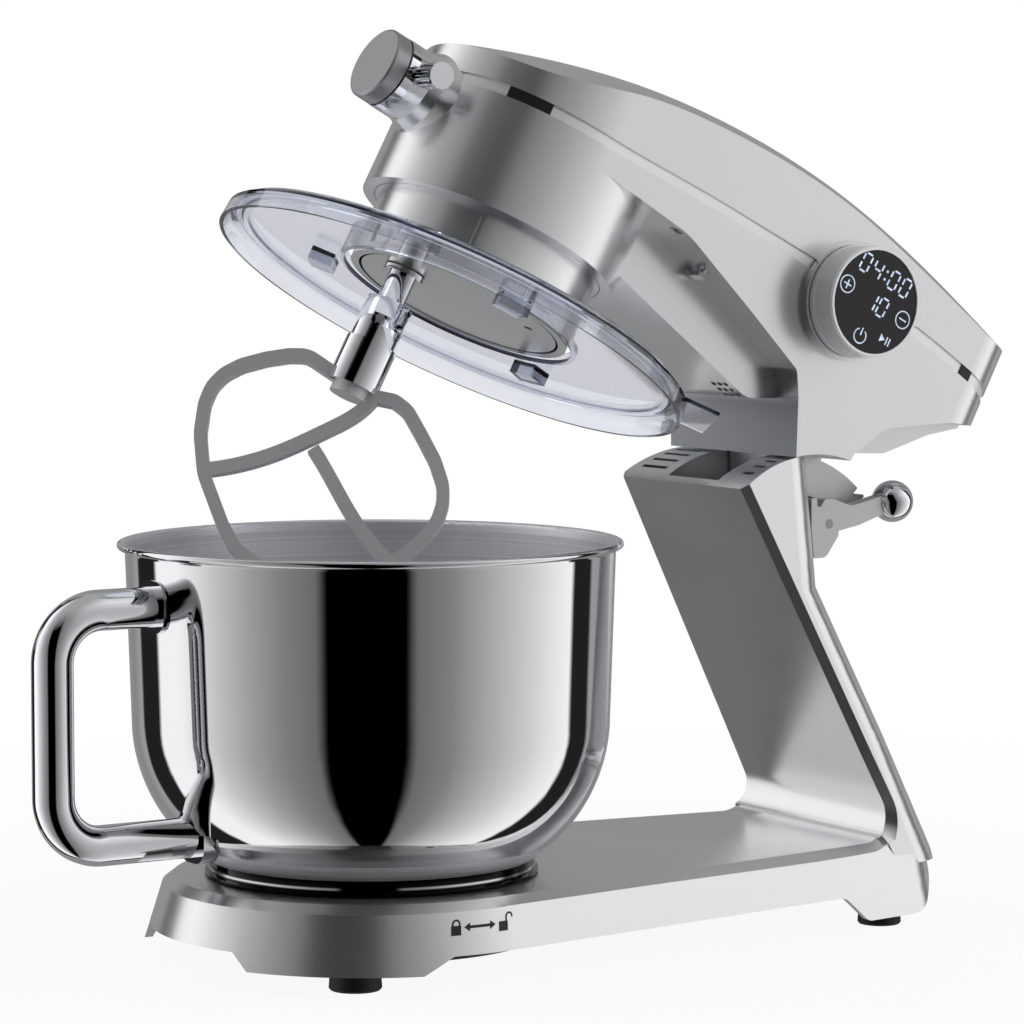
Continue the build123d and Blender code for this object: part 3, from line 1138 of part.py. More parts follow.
def make_beater():
    """Flat beater: an outer loop and two slanting bars in one upright plane."""
    rise = BEATER_TOP_Z - BEATER_BOTTOM_Z

    def place(across, up):
        """Point of the beater's plane, in shares of its half width and its height."""
        return across * BEATER_HALF, BEATER_BOTTOM_Z + up * rise

    # One shoulder of the loop is higher than the other, so that it follows the bowl's wall.
    low_side = [(0, 0, 40), (0.47, 0.08, 30), (0.82, 0.26, 30), (0.95, 0.41, 25), (1, 0.52, 20),
                (0.985, 0.61, 16), (0.93, 0.69, 20), (0.80, 0.78, 25), (0.64, 0.86, 25),
                (0.46, 0.945, 12), (0.34, 0.965, 8), (0.19, 0.945, 8)]
    high_side = [(-0.19, 0.975, 12), (-0.40, 1, 12), (-0.53, 0.965, 16), (-0.67, 0.91, 20),
                 (-0.82, 0.835, 16), (-0.91, 0.765, 14), (-0.955, 0.69, 16), (-0.95, 0.60, 20),
                 (-0.885, 0.465, 25), (-0.735, 0.30, 25), (-0.44, 0.115, 20), (-0.28, 0.04, 14)]
    loop = outline([(*place(across, up), radius) for across, up, radius in low_side + high_side])
    half = BEATER_BAR / 2
    bars = offset(loop, half) - offset(loop, -half)
    long_bar = [(0.19, 0.95), (0.11, 0.83), (-0.03, 0.717), (-0.33, 0.51), (-0.52, 0.41), (-0.76, 0.315)]
    cross_bar = [(-0.07, 0.61), (0.09, 0.54), (0.39, 0.40), (0.82, 0.265)]
    for bar in (long_bar, cross_bar):
        bars += trace(Spline(*[place(across, up) for across, up in bar]), BEATER_BAR)
    thick = BEATER_THICK / 2
    beater = side_slab(bars, -thick, thick)
    beater -= rod(SLEEVE_LOW_R, SLEEVE_LOW_Z, BIG)
    beater += rod(BEATER_CORE_R, SLEEVE_LOW_Z - 5, SLEEVE_LOW_Z + 12)
    return beater_turn() * beater


# ---- Nose hub ------------------------------------------------------------------------
def make_hub_bush():
    return (rod_x(HUB_BUSH_R, HUB_SEAT_X, -BRIDGE_REACH - 1, 0, HUB_Z)
            - rod_x(MOTOR_SHAFT_R + RUNNING_GAP, -BIG, BIG, 0, HUB_Z))


def make_hub_shaft():
    """Hub shaft with a square socket for an attachment's drive."""
    shaft = rod_x(MOTOR_SHAFT_R, HUB_SHAFT_X, -PINION_IN, 0, HUB_Z)
    shaft += rod_x(HUB_SOCKET_R, HUB_SHAFT_X, HUB_SEAT_X - 0.5, 0, HUB_Z)
    square = block((HUB_SHAFT_X - 1, HUB_SEAT_X - 2.5), (-3.5, 3.5), (HUB_Z - 3.5, HUB_Z + 3.5))
    return shaft - square


def make_hub_ring():
    """Bright ring in the hub's mouth."""
    ring = rod_x(HUB_R, HUB_FACE_X, HUB_FACE_X + 5, 0, HUB_Z)
    ring += rod_x(HUB_BORE_R, HUB_FACE_X, HUB_FACE_X + 8, 0, HUB_Z)
    return ring - rod_x(HUB_RING_BORE_R, -BIG, BIG, 0, HUB_Z)


def make_hub_cap():
    """Cap that pulls out of the hub's mouth."""
    cap = rod_x(HUB_R - 0.3, CAP_FACE_X, HUB_FACE_X - 1.0, 0, HUB_Z)
    rim = [edge for edge in cap.edges() if abs((edge @ 0.5).X - CAP_FACE_X) < 0.1]
    cap = fillet(rim, 1.5)
    cap += rod_x(HUB_R - 1.5, HUB_FACE_X - 1.2, HUB_FACE_X - 0.3, 0, HUB_Z)
    cap += rod_x(HUB_RING_BORE_R - 0.08, HUB_FACE_X - 1, HUB_FACE_X + 9, 0, HUB_Z)
    return cap - rod_x(HUB_RING_BORE_R - 2, HUB_FACE_X - 4, HUB_FACE_X + 10, 0, HUB_Z)


def make_thumb_screw():
    """Ribbed thumb screw that clamps an attachment in the hub."""
    knob_in = HUB_R + 1.0
    knob_out = knob_in + THUMB_KNOB_LENGTH
    knob = rod_y(THUMB_KNOB_R - 1.2, -knob_out, -knob_in)
    for index in range(10):
        knob += Rot(0, 36 * index, 0) * rod_y(1.3, 2 - knob_out, -knob_in - 1, THUMB_KNOB_R - 1.2, 0)
    knob += rod_y(THUMB_KNOB_R, -knob_out, 2 - knob_out)
    knob += rod_y(THUMB_KNOB_R - 2, -knob_in, -HUB_R - 0.6)
    knob += rod_y(THUMB_SHANK_R, -knob_in, -HUB_BORE_R - 0.6)
    return Pos(THUMB_X, 0, HUB_Z + THUMB_RISE) * knob


# ---- Display knob --------------------------------------------------------------------
def make_display_housing():
    """Round base on the head's side with a hollow stem for the display."""
    base = rod(KNOB_BASE_R, -4, 5.0) + rod(KNOB_STEM_R, -4, KNOB_REACH - 3.4)
    base -= rod(KNOB_STEM_R - KNOB_STEM_WALL, 3, KNOB_REACH)
    base -= rod(DISPLAY_WIRE_R - 2, -10, 10)
    return (display_frame(0) * base) - head_form(0)


def make_speed_ring():
    """Ring that turns around the stem."""
    ring = rod(KNOB_FACE_R + 0.6, 5.6, 8.0) + rod(KNOB_FACE_R, 5.6, KNOB_REACH - 0.6)
    ring += rod(KNOB_FACE_R - 0.6, KNOB_REACH - 1, KNOB_REACH)
    ring -= rod(DISPLAY_R + 0.35, KNOB_REACH - 3.9, KNOB_REACH + 1)
    ring -= rod(KNOB_STEM_R + KNOB_GAP, 0, KNOB_REACH)
    return display_frame(0) * ring


def make_display_glass():
    return display_frame(0) * rod(DISPLAY_R, KNOB_REACH - 3.4, KNOB_REACH - 0.9)


def make_control_board():
    return display_frame(0) * rod(KNOB_STEM_R - KNOB_STEM_WALL, KNOB_REACH - 6.4, KNOB_REACH - 4.8)


# ---- Splash guard --------------------------------------------------------------------
def make_splash_guard():
    """Clear guard: a disc with a low skirt, a collar with tabs and a small lip."""
    disc = turned([
        (GUARD_IN_R, GUARD_TOP_Z - 2.4), (GUARD_R - 10, GUARD_TOP_Z - 2.4), (GUARD_R - 8, GUARD_TOP_Z - 4.2),
        (GUARD_R - GUARD_WALL - 0.6, GUARD_TOP_Z - 5), (GUARD_R - GUARD_WALL, GUARD_LOW_Z),
        (GUARD_R, GUARD_LOW_Z), (GUARD_R - 0.8, GUARD_TOP_Z - 3), (GUARD_R - 5, GUARD_TOP_Z),
        (GUARD_IN_R, GUARD_TOP_Z)])
    bead = turned([(GUARD_R - 12, GUARD_TOP_Z - 4.6), (GUARD_R - 9.5, GUARD_TOP_Z - 4.6),
                   (GUARD_R - 9.5, GUARD_TOP_Z - 2), (GUARD_R - 12, GUARD_TOP_Z - 2)])
    guard = disc + bead
    collar = rod(GUARD_IN_R + 2.2, GUARD_TOP_Z - 1, GUARD_TOP_Z + 3) - rod(GUARD_IN_R, 0, BIG)
    guard += collar
    for centre in GUARD_LUG_ANGLES:
        guard += ring_part(GUARD_IN_R, GUARD_IN_R + 2.2, GUARD_TOP_Z - 1, GUARD_TOP_Z + 13.5,
                           centre - 9, centre + 9 + GUARD_TWIST)
        guard += ring_part(GUARD_IN_R - 2.6, GUARD_IN_R + 1, GUARD_HOOK_Z + 4.8, GUARD_HOOK_Z + 7.0,
                           centre - 8, centre + 8)
    for centre in (20, 140, 260):
        guard += ring_part(GUARD_IN_R + 4, GUARD_IN_R + 16, GUARD_TOP_Z - 9, GUARD_TOP_Z - 2,
                           centre - 6, centre + 6)
    lip = block((GUARD_R - 12, GUARD_R + 14), (-24, 24), (GUARD_TOP_Z - 3, GUARD_TOP_Z - 1))
    lip -= rod(GUARD_R - 9, 0, BIG)
    guard += Rot(0, 0, -28) * lip
    return guard


def make_head_screws():
    """Four screws that hold the cover on the casting, from below."""
    screws = []
    for x, y in cover_screw_places():
        screws.append(Pos(x, y, COVER_SCREW_Z) * Rot(180, 0, 0) * screw(3.2, 1.4, 1.35, 38))
    return screws


# ---- Assembly ------------------------------------------------------------------------
def bush_span():
    """Where each of the two bushes of the hinge lug starts and ends."""
    return ((LUG_Y_LOW, LUG_Y_LOW + BUSH_LENGTH), (LUG_Y_HIGH - BUSH_LENGTH, LUG_Y_HIGH))


def build_stand():
    nodes = {"stand_casting": make_stand_casting(), "column_cover": make_column_cover(),
             "column_screws": make_stand_screws(), "base_plate": make_base_plate(),
             "plate_screws": make_plate_screws(), "bowl_seat": make_bowl_seat()}
    for name, (x, y) in foot_places().items():
        nodes[name] = make_foot(x, y, FOOT_FRONT_R if "front" in name else FOOT_REAR_R)
    nodes["foot_screws"] = make_foot_screws()
    nodes["pivot_pin"] = make_pivot_pin()
    nodes["lever_bracket"] = make_lever_bracket()
    nodes["lever_pin"] = make_lever_pin()
    nodes["release_lever"] = make_release_lever()
    nodes["lever_knob"] = make_lever_knob()
    nodes["bowl"] = make_bowl()
    nodes["bowl_foot"] = make_bowl_foot()
    nodes["bowl_handle"] = make_bowl_handle()
    return nodes


def build_head():
    near_bush, far_bush = bush_span()
    low = PLANET_Z + 0.3
    top = HOUSING_Z - 1.2
    return {
        "head_cover": make_head_cover(), "trim_band": make_trim_band(),
        "band_inlays": make_band_inlays(), "head_casting": make_head_casting(),
        "head_screws": make_head_screws(), "hinge_lug": make_hinge_lug(),
        "lug_bolts": make_lug_bolts(), "pivot_bush_near": make_pivot_bush(*near_bush),
        "pivot_bush_far": make_pivot_bush(*far_bush), "planet_housing": make_planet_housing(),
        "ring_gear": make_ring_gear(), "gear_frame": make_gear_frame(),
        "carrier_bush_low": make_carrier_bush_low(), "carrier_bush_top": make_carrier_bush_top(),
        "motor_mount": make_motor_mount(), "motor_stator": make_motor_stator(),
        "motor_bush_front": make_motor_bush(MOUNT_X), "motor_bush_rear": make_motor_bush(PLATE_REAR_X),
        "hub_bush": make_hub_bush(), "hub_ring": make_hub_ring(),
        "display_housing": make_display_housing(), "display_glass": make_display_glass(),
        "control_board": make_control_board(), "motor_armature": make_motor_armature(),
        "motor_fan": make_motor_fan(), "drive_pinion": make_drive_pinion(),
        "planet_carrier": make_planet_carrier(), "crown_gear": make_crown_gear(),
        "output_bush_low": make_output_bush(low),
        "output_bush_top": make_output_bush(top - OUTPUT_BUSH_LENGTH),
        "output_shaft": make_output_shaft(), "planet_pinion": make_planet_pinion(),
        "beater_pin": make_beater_pin(), "beater": make_beater(),
        "beater_sleeve": make_beater_sleeve(), "hub_shaft": make_hub_shaft(),
        "hub_pinion": make_hub_pinion(), "hub_cap": make_hub_cap(),
        "thumb_screw": make_thumb_screw(), "speed_ring": make_speed_ring(),
        "splash_guard": make_splash_guard()}


def as_list(shape):
    """A node's shapes as a list; a node may be several separate solids."""
    return shape if isinstance(shape, list) else [shape]


def main():
    nodes = {name: as_list(shape) for name, shape in build_stand().items()}
    for name, shape in build_head().items():
        nodes[name] = [raised(piece) for piece in as_list(shape)]
    boxes = [piece.bounding_box() for pieces in nodes.values() for piece in pieces]
    x_mid = (min(b.min.X for b in boxes) + max(b.max.X for b in boxes)) / 2
    y_mid = (min(b.min.Y for b in boxes) + max(b.max.Y for b in boxes)) / 2
    z_low = min(b.min.Z for b in boxes)
    move = Pos(-x_mid, -y_mid, -z_low)
    os.makedirs("parts", exist_ok=True)
    for name, pieces in nodes.items():
        solids = [solid for piece in pieces for solid in (move * piece).solids()]
        shape = solids[0] if len(solids) == 1 else Compound(children=solids)
        export_step(shape, f"parts/{name}.step")
    up = Vector(sin(radians(HEAD_TILT)), 0, cos(radians(HEAD_TILT)))
    rear = Vector(cos(radians(HEAD_TILT)), 0, -sin(radians(HEAD_TILT)))

    def report(name, point, tilt=True):
        ball = Pos(*point) * Sphere(1)
        spot = (move * (raised(ball) if tilt else ball)).center()
        print(f"datum {name}: {spot.X:.3f} {spot.Y:.3f} {spot.Z:.3f}")

    print(f"nodes {len(nodes)} shift {-x_mid:.3f} {-y_mid:.3f} {-z_low:.3f}")
    print(f"extents x {min(b.min.X for b in boxes) - x_mid:.3f} {max(b.max.X for b in boxes) - x_mid:.3f}"
          f" y {min(b.min.Y for b in boxes) - y_mid:.3f} {max(b.max.Y for b in boxes) - y_mid:.3f}"
          f" z {max(b.max.Z for b in boxes) - z_low:.3f}")
    print(f"up axis {up.X:.6f} {up.Y:.6f} {up.Z:.6f}  rear axis {rear.X:.6f} {rear.Y:.6f} {rear.Z:.6f}")
    report("bowl axis", (0, 0, BASE_TOP_Z), False)
    report("pivot", (PIVOT_X, 0, PIVOT_Z), False)
    report("lever pin", (LEVER_X, LEVER_Y, LEVER_Z), False)
    report("carrier", (0, 0, HOUSING_Z))
    report("output", (-SHAFT_OFFSET, 0, HOUSING_Z))
    report("beater pin", (-SHAFT_OFFSET, 0, BEATER_PIN_Z))
    report("hub shaft", (-PINION_IN, 0, HUB_Z))
    report("motor shaft", (MOUNT_X, 0, HUB_Z))
    report("hub mouth", (HUB_FACE_X, 0, HUB_Z))
    report("thumb screw", (THUMB_X, -HUB_R, HUB_Z + THUMB_RISE))
    side_y = -head_half(DISPLAY_X)
    report("display", (DISPLAY_X, side_y, DISPLAY_Z))
    report("guard", (0, 0, GUARD_TOP_Z))


if __name__ == "__main__":
    main()
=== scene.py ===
# %% [markdown]
# # A tilt-head stand mixer, dressed for a studio view
# The solids of the mixer arrive ready made, at their real size in metres.  This lesson
# gives each of them the finish of the real piece, draws the marks that are lit or printed
# on it, and builds a plain studio around it.

from math import atan2, cos, pi, radians, sin

import bpy
import numpy as np
from mathutils import Matrix, Vector


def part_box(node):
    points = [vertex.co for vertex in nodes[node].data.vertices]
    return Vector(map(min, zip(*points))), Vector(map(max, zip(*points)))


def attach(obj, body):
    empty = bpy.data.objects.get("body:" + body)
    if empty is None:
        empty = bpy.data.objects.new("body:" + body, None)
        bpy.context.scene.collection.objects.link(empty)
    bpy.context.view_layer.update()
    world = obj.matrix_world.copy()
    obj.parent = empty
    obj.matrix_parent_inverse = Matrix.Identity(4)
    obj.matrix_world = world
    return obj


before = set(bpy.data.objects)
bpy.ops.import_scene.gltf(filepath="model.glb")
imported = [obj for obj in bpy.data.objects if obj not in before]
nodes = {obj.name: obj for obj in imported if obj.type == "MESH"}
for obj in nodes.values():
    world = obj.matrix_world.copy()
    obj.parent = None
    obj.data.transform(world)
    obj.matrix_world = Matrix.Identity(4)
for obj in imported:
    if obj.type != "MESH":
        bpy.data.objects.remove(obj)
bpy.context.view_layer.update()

# %% [markdown]
# ## Where things are
# Every place on the mixer is worked out from the boxes of its solids, so the looks follow
# when its sizes change.  The bowl's axis runs through the middle of its foot ring.  The
# raised head has axes of its own, turned about the hinge: one to its rear, one to its roof.

# %% Places and axes
MM = 0.001
RIM_BEAD = 1.8 * MM             # half the thickness of the bowl's rolled rim
HEAD_TILT = radians(28.3)       # how far the head is raised


def middle(node):
    """Middle of a solid's box."""
    low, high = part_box(node)
    return (low + high) / 2


bowl_axis = middle("bowl_foot")
rim_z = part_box("bowl")[1].z - RIM_BEAD
head_up = Vector((sin(HEAD_TILT), 0, cos(HEAD_TILT)))
head_rear = Vector((cos(HEAD_TILT), 0, -sin(HEAD_TILT)))
print("bowl axis", bowl_axis.to_tuple(3), "rim height", round(rim_z, 4))

# %% [markdown]
# ## Camera
# A long lens from the bowl's side, a little above the rim, keeps the mixer's lines nearly
# parallel.  A camera can be aimed with a constraint, but two angles and a distance say the
# same in numbers that can be read.  Its three axes are then the columns of its matrix.

# %% Camera
VIEW_AZIMUTH = radians(32.18)   # turned from the worktop's Y axis towards +X
VIEW_PITCH = radians(4.487)     # looking down by this angle
VIEW_DISTANCE = 1.924955        # from the middle of the bowl's rim
VIEW_RIGHT = 0.067896           # and moved by these two, right and up
VIEW_UP = 0.014919
VIEW_LENS = 140.625
NEAREST_SEEN = 0.1

right = Vector((cos(VIEW_AZIMUTH), -sin(VIEW_AZIMUTH), 0))
ahead = Vector((sin(VIEW_AZIMUTH) * cos(VIEW_PITCH), cos(VIEW_AZIMUTH) * cos(VIEW_PITCH),
                -sin(VIEW_PITCH)))
above = right.cross(ahead)
rim_middle = Vector((bowl_axis.x, bowl_axis.y, rim_z))
eye = rim_middle - VIEW_DISTANCE * ahead + VIEW_RIGHT * right + VIEW_UP * above
turned = Matrix((right, above, -ahead)).transposed().to_4x4()

camera = bpy.data.objects.new("camera", bpy.data.cameras.new("camera"))
camera.data.lens = VIEW_LENS
camera.data.clip_start = NEAREST_SEEN
camera.matrix_world = Matrix.Translation(eye) @ turned
bpy.context.scene.collection.objects.link(camera)
bpy.context.scene.camera = camera
bpy.context.scene.view_settings.view_transform = "Standard"
print("camera at", eye.to_tuple(3))

# %% [markdown]
# ## Nodes and colours
# A material is a small tree of nodes.  It could be drawn by hand in the shader editor.
# Here one function adds any node with its settings and links, so that a tree reads like a
# recipe, and one turns the hex colours of a paint chart into the linear values that the
# shaders work with.

# %% Helpers for materials
def linear(chart):
    """Linear RGBA of an sRGB hex colour such as "c8c9cb".

    Up to 0.04045 a channel c becomes c / 12.92, and above it ((c + 0.055) / 1.055)^2.4."""
    parts = np.array([int(chart[k:k + 2], 16) for k in (0, 2, 4)]) / 255
    low, high = parts / 12.92, ((parts + 0.055) / 1.055) ** 2.4
    return (*np.where(parts <= 0.04045, low, high), 1.0)


def add(tree, kind, inputs=None, stops=None, **settings):
    """Add a node with its settings and links.

    inputs gives sockets a value, or a link when it is another node's output.  stops gives
    a colour ramp its (position, grey or RGBA) pairs."""
    made = tree.nodes.new(kind)
    for name, value in settings.items():
        setattr(made, name, value)
    for socket, value in (inputs or {}).items():
        if isinstance(value, bpy.types.NodeSocket):
            tree.links.new(value, made.inputs[socket])
        else:
            made.inputs[socket].default_value = value
    if stops:
        points = made.color_ramp.elements
        while len(points) < len(stops):
            points.new(0.5)                 # its own place follows
        for point, (place, colour) in zip(points, stops):
            point.position = place
            point.color = colour if isinstance(colour, tuple) else (colour, colour, colour, 1)
    return made


def new_tree(name):
    """An empty material and its tree of nodes."""
    made = bpy.data.materials.new(name)
    made.use_nodes = True
    made.node_tree.nodes.clear()
    return made, made.node_tree


print("mid grey 808080 is", round(linear("808080")[0], 3), "in linear light")

# %% [markdown]
# ## Studio room
# The mixer stands in a plain room, bright at its sides and greyer in front and behind.
# Mirrors need something dark to show their shape, so the room also has a black curtain
# behind the camera and a narrow one on each side.  They could be planes of black cloth, but
# stripes in the world's colour are smoother and never get in a lamp's way.  The first step
# finds the compass direction of each ray, as an angle from the camera's side.  The stripes
# lean a little, as on a draped curtain.

# %% Directions in the room
CURTAIN_LEAN = 0.55             # radians that a stripe turns by, from table to zenith

world = bpy.data.worlds.new("studio_room")
bpy.context.scene.world = world
world.use_nodes = True
room = world.node_tree
room.nodes.clear()
camera_side = atan2(-ahead.y, -ahead.x)
way = add(room, "ShaderNodeTexCoord").outputs["Generated"]
direction = add(room, "ShaderNodeSeparateXYZ", {0: way}).outputs
compass = add(room, "ShaderNodeMath", {0: direction[1], 1: direction[0]}, operation="ARCTAN2")
offset = add(room, "ShaderNodeMath", {0: compass.outputs[0], 1: camera_side},
             operation="SUBTRACT")
raised = add(room, "ShaderNodeMath", {0: direction[2], 1: 0.0}, operation="MAXIMUM")
leaning = add(room, "ShaderNodeMath",
              {0: raised.outputs[0], 1: CURTAIN_LEAN, 2: offset.outputs[0]},
              operation="MULTIPLY_ADD")
wrapped = add(room, "ShaderNodeMath", {0: leaning.outputs[0], 1: pi, 2: -pi}, operation="WRAP")
round_share = add(room, "ShaderNodeMapRange",
                  {"Value": wrapped.outputs[0], "From Min": -pi, "From Max": pi})
print("camera's side at", round(camera_side, 3), "radians")

# %% [markdown]
# The walls are then one colour ramp all the way round.  Each stop is an angle in degrees
# from the camera's side and a brightness: two close stops make the sharp edge of a curtain,
# and two far ones a wall that fades.  The ceiling is a plain soft grey.

# %% Walls and ceiling
CEILING_LEVEL = 0.45
CEILING_STARTS, CEILING_FULL = 0.6, 0.95    # sine of the height above the table
ROOM_STOPS = [(-180, 0.32), (-150, 0.30), (-139, 0.45), (-137, 0.02), (-119, 0.02),
              (-117, 1.3), (-100, 1.3), (-75, 0.78), (-57, 0.50), (-40, 0.31), (-24, 0.21),
              (-19, 0.0), (19, 0.0), (24, 0.21), (40, 0.31), (66, 0.66), (82, 0.88),
              (95, 1.1), (110, 1.3), (112, 0.02), (127, 0.02), (129, 0.45), (150, 0.30),
              (180, 0.32)]

walls = add(room, "ShaderNodeValToRGB", {"Fac": round_share.outputs[0]},
            stops=[((turn + 180) / 360, level) for turn, level in ROOM_STOPS])
ceiling = add(room, "ShaderNodeMapRange", {"Value": direction[2], "From Min": CEILING_STARTS,
                                           "From Max": CEILING_FULL})
all_round = add(room, "ShaderNodeMix",
                {0: ceiling.outputs[0], 6: walls.outputs["Color"],
                 7: (CEILING_LEVEL, CEILING_LEVEL, CEILING_LEVEL, 1)}, data_type="RGBA")
print("room drawn with", len(ROOM_STOPS), "stops")

# %% [markdown]
# The camera itself, and whatever is seen through the clear guard, gets plain white behind
# the mixer.  The curtains are only there for light and for reflections.

# %% What each ray sees
WHITE = (1, 1, 1, 1)

ray = add(room, "ShaderNodeLightPath").outputs
straight = add(room, "ShaderNodeMath", {0: ray["Is Camera Ray"], 1: ray["Is Transmission Ray"]},
               operation="MAXIMUM")
lit = add(room, "ShaderNodeBackground", {"Color": all_round.outputs[2], "Strength": 1.0})
white = add(room, "ShaderNodeBackground", {"Color": WHITE, "Strength": 1.0})
shown = add(room, "ShaderNodeMixShader",
            {0: straight.outputs[0], 1: lit.outputs[0], 2: white.outputs[0]})
add(room, "ShaderNodeOutputWorld", {0: shown.outputs[0]})
print("world has", len(room.nodes), "nodes")

# %% [markdown]
# ## Table top
# A white table carries the mixer and takes its soft shadow.  A real one is a roll of paper
# that curves up behind the object.  A flat sheet that glows white towards its edge hides
# the join with the room as well.  Mirrors look straight through it, so the polished bowl
# doesn't show a hard horizon.

# %% Table top
TABLE_HALF = 4.0
CORNERS = ((-1, -1), (1, -1), (1, 1), (-1, 1))

table = bpy.data.meshes.new("table")
table.from_pydata([(TABLE_HALF * x, TABLE_HALF * y, 0) for x, y in CORNERS], [], [(0, 1, 2, 3)])
floor = bpy.data.objects.new("table", table)
bpy.context.scene.collection.objects.link(floor)
print("table", 2 * TABLE_HALF, "m wide")

# %% [markdown]
# The paper is a matt white that mixes into plain white: mostly near the mixer, where its
# shadow should show through a little, and wholly further out.

# %% Paper on the table
NEAR_PAPER, FAR_PAPER = 0.3, 0.9        # metres from the middle
GLOW_NEAR, GLOW_FAR = 0.93, 1.0         # share of plain white that the camera sees there

white_table, tree = new_tree("white_table")
ray = add(tree, "ShaderNodeLightPath").outputs
spot = add(tree, "ShaderNodeTexCoord").outputs["Object"]
away = add(tree, "ShaderNodeVectorMath", {0: spot}, operation="LENGTH").outputs["Value"]
edge = add(tree, "ShaderNodeMapRange",
           {"Value": away, "From Min": NEAR_PAPER, "From Max": FAR_PAPER})
near_glow = add(tree, "ShaderNodeMapRange",
                {"Value": edge.outputs[0], "To Min": GLOW_NEAR, "To Max": GLOW_FAR})
straight = add(tree, "ShaderNodeMath", {0: ray["Is Camera Ray"], 1: ray["Is Transmission Ray"]},
               operation="MAXIMUM")
glow_share = add(tree, "ShaderNodeMath", {0: straight.outputs[0], 1: near_glow.outputs[0]},
                 operation="MULTIPLY")
matt = add(tree, "ShaderNodeBsdfDiffuse", {"Color": linear("e9e9ea")})
glow = add(tree, "ShaderNodeEmission", {"Color": WHITE, "Strength": 1.0})
paper = add(tree, "ShaderNodeMixShader",
            {0: glow_share.outputs[0], 1: matt.outputs[0], 2: glow.outputs[0]})
clear = add(tree, "ShaderNodeBsdfTransparent")
top = add(tree, "ShaderNodeMixShader",
          {0: ray["Is Glossy Ray"], 1: paper.outputs[0], 2: clear.outputs[0]})
add(tree, "ShaderNodeOutputMaterial", {"Surface": top.outputs[0]})
table.materials.append(white_table)
print(white_table.name, "has", len(tree.nodes), "nodes")

# %% [markdown]
# ## Lamps
# The room gives most of the light.  Two large soft lamps, as through a cloth, add the
# shadow under the mixer and lift the sides that the curtains leave dark.  Mirrors don't
# show them, or each would leave a bright square on the bowl.

# %% Two soft lamps
LAMP_DISTANCE = 2.2
LAMP_SIZE = 0.9
LAMP_AIM = Vector((0, 0, 0.2))
LAMPS = {"right_lamp": (78, 22, 14),    # degrees from the camera's side, degrees up, watts
         "left_lamp": (-75, 55, 4)}

for name, (turn, height, power) in LAMPS.items():
    across, up = camera_side + radians(turn), radians(height)
    place = LAMP_DISTANCE * Vector((cos(across) * cos(up), sin(across) * cos(up), sin(up)))
    light = bpy.data.objects.new(name, bpy.data.lights.new(name, "AREA"))
    light.data.size = LAMP_SIZE
    light.data.energy = power
    light.location = place
    light.rotation_euler = (LAMP_AIM - place).to_track_quat("-Z", "Y").to_euler()
    light.visible_glossy = False
    bpy.context.scene.collection.objects.link(light)
    print(name, "at", place.to_tuple(2), power, "W")

# %% [markdown]
# ## One recipe for metal, paint and plastic
# Real finishes differ by how their light is spread.  Polished steel is a plain mirror,
# satin paint holds fine flakes of aluminium under lacquer, and a casting has a faint grain.
# Each could have a tree of its own, but they share the same three facts: a grain, a colour
# that varies with it, and a polish that varies more slowly, where hands and cloths went.
# So one function draws them, and each finish sets its own values.
#
# The grain of most finishes is finer than 0.1 mm, which no view of the whole mixer can
# show.  It is drawn at 0.5 to 1.5 mm instead, just coarse enough to break up a flat tone.

# %% Grained finish
POLISH_MM = 40                          # size of the areas that are polished a little more
NOISE_LOW, NOISE_HIGH = 0.3, 0.7        # most of a noise's values lie between these
BUMP_STRENGTH = 0.5


def grained(name, colour, metallic, roughness, grain_mm, grain_depth, mottle=0.06, worn=0.08,
            **sockets):
    """Principled finish whose colour, roughness and surface follow a fine noise.

    grain_mm is the size of one grain, and grain_depth is the bump's depth in mm.  The
    colour varies by the share mottle with the grain, and the roughness by the share worn."""
    made, tree = new_tree(name)
    place = add(tree, "ShaderNodeTexCoord").outputs["Object"]
    fine = add(tree, "ShaderNodeTexNoise",
               {"Vector": place, "Scale": 1 / (grain_mm * MM), "Detail": 2.0})
    broad = add(tree, "ShaderNodeTexNoise",
                {"Vector": place, "Scale": 1 / (POLISH_MM * MM), "Detail": 3.0})
    base = np.array(linear(colour)[:3])
    dark, pale = base * (1 - mottle), np.minimum(base * (1 + mottle), 1)
    tint = add(tree, "ShaderNodeValToRGB", {"Fac": fine.outputs["Fac"]},
               stops=[(NOISE_LOW, (*dark, 1)), (NOISE_HIGH, (*pale, 1))])
    rough = add(tree, "ShaderNodeMapRange",
                {"Value": broad.outputs["Fac"], "To Min": roughness * (1 - worn),
                 "To Max": roughness * (1 + worn)})
    bump = add(tree, "ShaderNodeBump", {"Height": fine.outputs["Fac"],
                                        "Strength": BUMP_STRENGTH, "Distance": grain_depth * MM})
    skin = add(tree, "ShaderNodeBsdfPrincipled",
               {"Base Color": tint.outputs["Color"], "Metallic": metallic,
                "Roughness": rough.outputs[0], "Normal": bump.outputs[0], **sockets})
    add(tree, "ShaderNodeOutputMaterial", {"Surface": skin.outputs[0]})
    return made


def dress(material, *names):
    """Give solids a material, in place of all the slots they came with."""
    for name in names:
        nodes[name].data.materials.clear()
        nodes[name].data.materials.append(material)
    print(material.name, "on", ", ".join(names))


# %% [markdown]
# ## Enamel and plate
# The body is die-cast aluminium, sprayed with a silver base coat and a clear lacquer.  The
# band round the head is a paler moulding.  What hands and food touch is plated.

# %% Enamel and plate
# Silver enamel: flat aluminium flakes of some 0.03 mm, drawn at 0.6 mm, give a metal's
# brightness with a soft, even sheen; the lacquer leaves hardly any depth.
silver_enamel = grained("silver_enamel_paint", "e4e5e6", metallic=0.9, roughness=0.25,
                        grain_mm=0.6, grain_depth=0.0006, mottle=0.03, worn=0.05)
